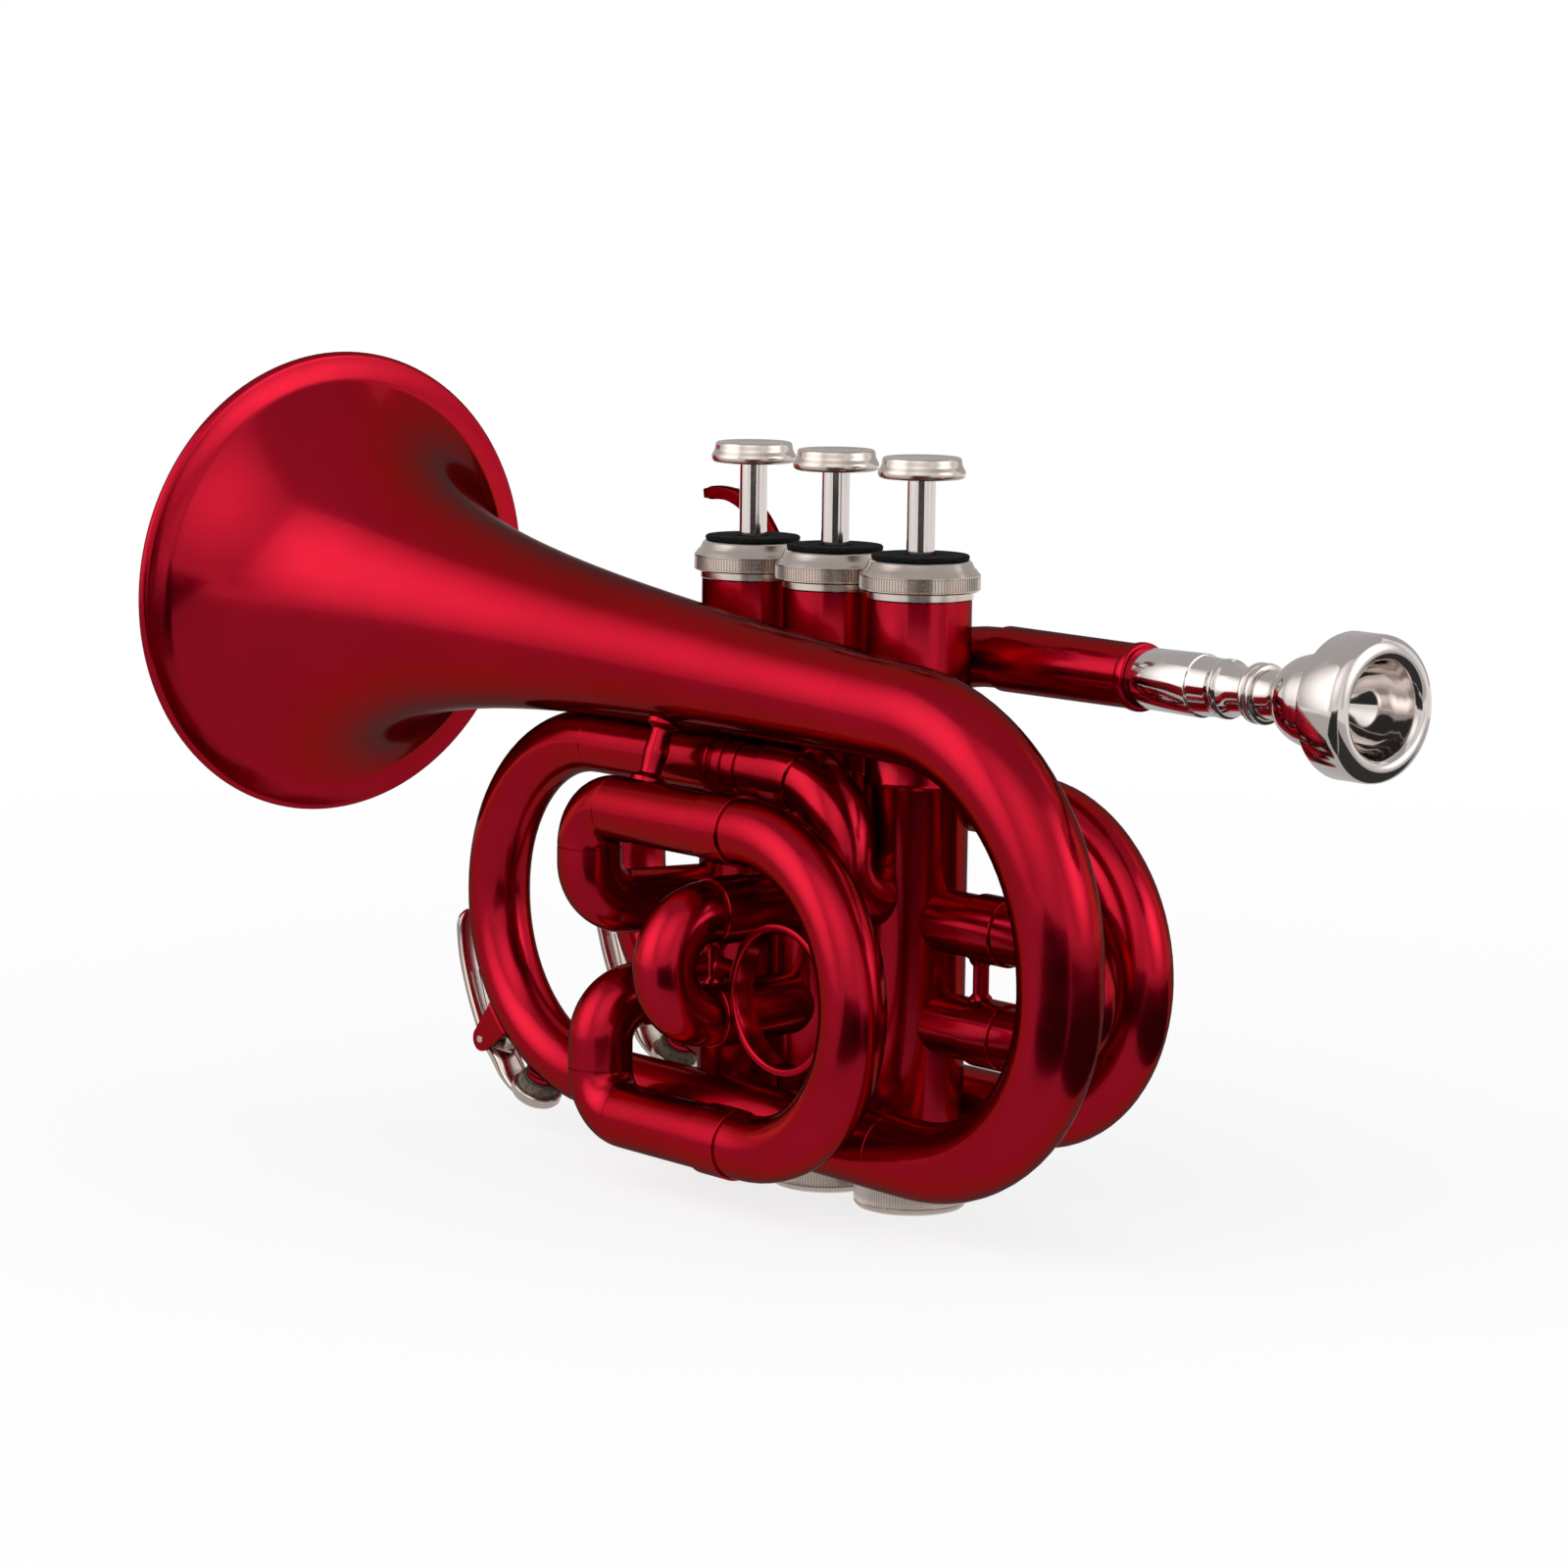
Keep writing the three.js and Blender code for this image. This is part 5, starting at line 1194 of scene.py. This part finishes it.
def make_key_saddle(name, seat, pivot):
    """Two ears stand on a foot that hugs the bow, and a pin passes through them."""
    inside = KEY_WIDTH / 2 + SEAT_GAP
    outside = inside + KEY_EAR_THICKNESS
    shape = Shape()
    sides = (-KEY_FOOT_TURN, KEY_FOOT_TURN)
    base = [seat_place(seat, KEY_PIVOT_TURN + turn, -LOOP_RADIUS / 3) for turn in sides]
    waist = [seat_place(seat, KEY_PIVOT_TURN + turn * 0.8, 1.6) for turn in sides]
    top = []
    for k in range(17):
        way = seat_way(KEY_PIVOT_TURN + pi * (k / 16 - 0.5))
        top.append(pivot + way * KEY_EAR_RADIUS)
    outline = [base[0], waist[0]] + top + [waist[1], base[1]]
    shape.plate(outline, pivot.y + inside, pivot.y + outside, 0.2)
    shape.plate(outline, pivot.y - outside, pivot.y - inside, 0.2)
    centre, bend = seat
    rows = []
    for k in range(9):
        turn = KEY_PIVOT_TURN + KEY_FOOT_TURN * (k / 4 - 1)
        along = at(sin(turn), 0, cos(turn))
        row = []
        for lift, sweep in ((-0.5, range(-8, 9)), (KEY_FOOT_HEIGHT, range(8, -9, -1))):
            for step in sweep:
                lean = asin(outside / LOOP_RADIUS) * step / 8
                reach = LOOP_RADIUS + lift
                out = seat_way(turn) * (bend + reach * cos(lean))
                row.append(centre + out + AXIS_Y * reach * sin(lean))
        rows.append(row)
    shape.grid(rows, False, cap_ends=True)
    finish_piece(f"{name}_saddle_ears", shape, f"{name}_saddle")

    reach = outside + KEY_PIN_SHOW
    radius = KEY_PIN_RADIUS
    pin = mirrored([(0, 0.15), (radius - 0.3, 0.1), (radius - 0.1, 0.12), (radius, 0.25)], 2 * reach)
    place = pivot - AXIS_Y * reach
    turned_piece(f"{name}_pin", f"{name}_saddle", pin, place, AXIS_Y, 32, "nickel_silver")


def make_key_spring(name, seat, pivot):
    side = -KEY_WIDTH / 2 + KEY_BARREL_LENGTH + SEAT_GAP + WIRE_RADIUS
    rise = KEY_WIDTH / 2 - WIRE_RADIUS - side
    radius = KEY_PIN_RADIUS + SEAT_GAP + WIRE_RADIUS
    places = [seat_place(seat, radians(24), 3.45) + at(0, side, 0)]
    count = 72
    for k in range(count + 1):
        angle = 2 * pi * WIRE_TURNS * k / count
        across = side + rise * k / count
        places.append(pivot + at(radius * cos(angle), across, -radius * sin(angle)))
    places.append(seat_place(seat, radians(52), 1.1) + at(0, side + rise, 0))
    stations = []
    travelled = 0
    for before, place, along in zip([places[0]] + places, places, ways_along(places)):
        travelled += (place - before).length
        stations.append(Station(place, along, travelled))
    finish_piece(f"{name}_spring_wire", Shape().bar(stations, WIRE_RADIUS, 10), f"{name}_spring")


def make_water_key(name, seat):
    pivot = seat_place(seat, KEY_PIVOT_TURN, KEY_PIVOT_STANDOFF)
    for make in (make_key_lever, make_key_saddle, make_key_spring):
        make(name, seat, pivot)


for valve in range(3):
    for make in (make_casing, make_top_cap, make_bottom_cap, make_felt, make_stem, make_button):
        make(valve)
    for hidden in ("piston", "valve_spring"):
        node = f"{hidden}_{valve + 1}"
        mesh = frame["nodes"][node].data
        mesh.materials.clear()
        mesh.materials.append(MATERIALS[SLOT_OF[node]])
for valve in range(2):
    make_port_tube(valve)
make_bell()
make_bell_bow()
make_near_runs()
make_near_front_bow()
make_leadpipe()
make_far_loop()
make_main_slide()
make_mouthpiece()
make_small_slide("first", 0, -AXIS_X, FIRST_TUBE_END, FIRST_LEG, FIRST_BOW, FIRST_TUBE_END - FERRULE_LENGTH)
make_small_slide("second", SECOND_X, AXIS_Y, SECOND_TUBE_END, SECOND_LEG, SECOND_BOW, RING_STEM_SIDE)
make_third_slide()
make_finger_ring()
make_hook()
make_bell_brace()
make_water_key("near_water_key", NEAR_SEAT)
make_water_key("far_water_key", FAR_SEAT)


# Stage, light and camera, in metres

TARGET = at(0.03, 0.01, 0.075)
FLOOR_RADIUS = 6
FLOOR_TONE = 0.9
FLOOR_SHADOW_SHARE = 0.8
FLOOR_SHADOW_REACH = 0.12
FLOOR_WHITE_REACH = 0.6
WORLD_TONE = 0.6
CARD_LIFT = 0.0005
CARD_FADE = (0.15, 0.7)

# Azimuth, elevation, distance, width, height, power
LAMPS = {
    "left_softbox": (66, 27, 1.6, 1.9, 1.9, 14),
    "front_softbox": (128, 32, 1.6, 1.6, 1.6, 8),
    "right_softbox": (210, 20, 1.6, 1.7, 1.1, 9),
}
# Azimuth, elevation, distance, width, height, then the tone in the middle and at the rim
STANDING_CARDS = {
    "left_panel": (68, 26, 1.6, 2.8, 2.8, 2.1, 0.6),
    "front_panel": (128, 34, 1.5, 1.9, 1.7, 1.5, 0.8),
    "right_panel": (208, 21, 1.6, 1.9, 1.4, 2.5, 0.7),
    "back_card": (-40, 20, 1.8, 5.5, 2.8, 0.5, None),
    "ceiling_card": (0, 90, 1.6, 3, 3, 0.5, None),
}
# Azimuth and distance of each corner, the lift and the tone
LYING_CARDS = {
    "table_card": ([(40, 0.9), (130, 0.9), (220, 0.9), (310, 0.9)], CARD_LIFT, 0.55),
    "front_card": ([(112, 0.13), (168, 0.13), (162, 3), (114, 3)], 2 * CARD_LIFT, 0.03),
    "right_card": ([(168, 0.13), (238, 0.13), (238, 0.42), (168, 0.42)], 2 * CARD_LIFT, 0.04),
}


def background_rays(graph):
    """One for the rays that see the background: straight from the camera, mirrored or let through."""
    rays = graph.add("LightPath").node.outputs
    seen = rays["Is Camera Ray"]
    for kind in ("Is Glossy Ray", "Is Transmission Ray"):
        seen = graph.calculate("Math", "MAXIMUM", seen, rays[kind])
    return seen


def make_floor():
    """A white floor that keeps the object's shadow, and turns to plain white further out."""
    bpy.ops.mesh.primitive_circle_add(
        vertices=96, radius=FLOOR_RADIUS, fill_type="NGON", location=(TARGET.x, 0, 0)
    )
    floor = bpy.context.object
    floor.name = "floor"
    graph = stage_material("floor_white")
    glow = graph.length_ramp(FLOOR_SHADOW_SHARE, 1, FLOOR_SHADOW_REACH, FLOOR_WHITE_REACH)
    mix = graph.add("MixShader", Fac=graph.calculate("Math", "MULTIPLY", background_rays(graph), glow))
    graph.join(graph.add("BsdfDiffuse", Color=grey(FLOOR_TONE)), mix.node.inputs[1])
    graph.join(graph.add("Emission"), mix.node.inputs[2])
    graph.show(mix)
    floor.data.materials.append(graph.owner)


def make_world():
    """White to the camera and in reflections, and a soft grey for the rest."""
    world = bpy.data.worlds.new("studio")
    bpy.context.scene.world = world
    graph = Graph(world)
    tone = graph.ramp(background_rays(graph), grey(WORLD_TONE), grey(1), 0, 1)
    graph.put(graph.nodes["Background"], Color=tone)


def facing(place):
    """The turn of a lamp or card that looks at the target."""
    return (TARGET - place).to_track_quat("-Z", "Y")


def around(azimuth, elevation, distance):
    """A place round the target: azimuth 0 is +X, 90 is +Y."""
    a = radians(azimuth)
    e = radians(elevation)
    return TARGET + at(cos(e) * cos(a), cos(e) * sin(a), sin(e)) * distance


def softbox(name, azimuth, elevation, distance, width, height, power):
    """A soft lamp, whose reflection is a card."""
    data = bpy.data.lights.new(name, "AREA")
    data.shape = "RECTANGLE"
    data.size = width
    data.size_y = height
    data.energy = power
    lamp = new_object(name, data)
    lamp.location = around(azimuth, elevation, distance)
    lamp.rotation_euler = facing(lamp.location).to_euler()
    lamp.visible_glossy = False


def standing(azimuth, elevation, distance, width, height):
    """The corners of a card that faces the target."""
    place = around(azimuth, elevation, distance)
    turn = facing(place)
    signs = ((-1, -1), (1, -1), (1, 1), (-1, 1))
    return [place + turn @ at(x * width / 2, y * height / 2, 0) for x, y in signs]


def lying(spots, lift):
    """The corners of a card on the floor, from azimuths and distances."""
    places = [around(azimuth, 0, distance) for azimuth, distance in spots]
    return [at(place.x, place.y, lift) for place in places]


def make_card(name, corners, tone, rim_tone=None):
    """A card that shows only in reflections, plain or brightest in its middle."""
    middle = sum(corners, Vector()) / len(corners)
    reach = (corners[0] - middle).length
    mesh = bpy.data.meshes.new(name)
    mesh.from_pydata([(corner - middle) / reach for corner in corners], [], [(0, 1, 2, 3)])
    card = new_object(name, mesh)
    card.location = middle
    card.scale = (reach, reach, reach)
    graph = stage_material(name)
    glow = graph.add("Emission", Color=grey(tone))
    if rim_tone is not None:
        graph.put(glow.node, Color=graph.length_ramp(tone, rim_tone, *CARD_FADE))
    graph.show(glow)
    mesh.materials.append(graph.owner)
    card.visible_camera = card.visible_shadow = False
    card.visible_diffuse = card.visible_transmission = False


def make_camera():
    data = bpy.data.cameras.new("photo_camera")
    data.sensor_width = SENSOR_WIDTH
    data.lens = SENSOR_WIDTH * FOCAL_PIXELS / PHOTO_WIDTH
    data.clip_start = 0.05
    camera = new_object("photo_camera", data)
    ahead = CAMERA_AHEAD.normalized()
    right = (CAMERA_RIGHT - ahead * CAMERA_RIGHT.dot(ahead)).normalized()
    up = right.cross(ahead)
    turn = Matrix((right, up, -ahead)).transposed().to_4x4()
    camera.matrix_world = Matrix.Translation(CAMERA_PLACE * MM) @ turn
    bpy.context.scene.camera = camera


make_floor()
make_world()
for name, values in LAMPS.items():
    softbox(name, *values)
for name, (*stand, tone, rim_tone) in STANDING_CARDS.items():
    make_card(name, standing(*stand), tone, rim_tone)
for name, (spots, lift, tone) in LYING_CARDS.items():
    make_card(name, lying(spots, lift), tone)
make_camera()

bpy.context.scene.view_settings.view_transform = "Standard"
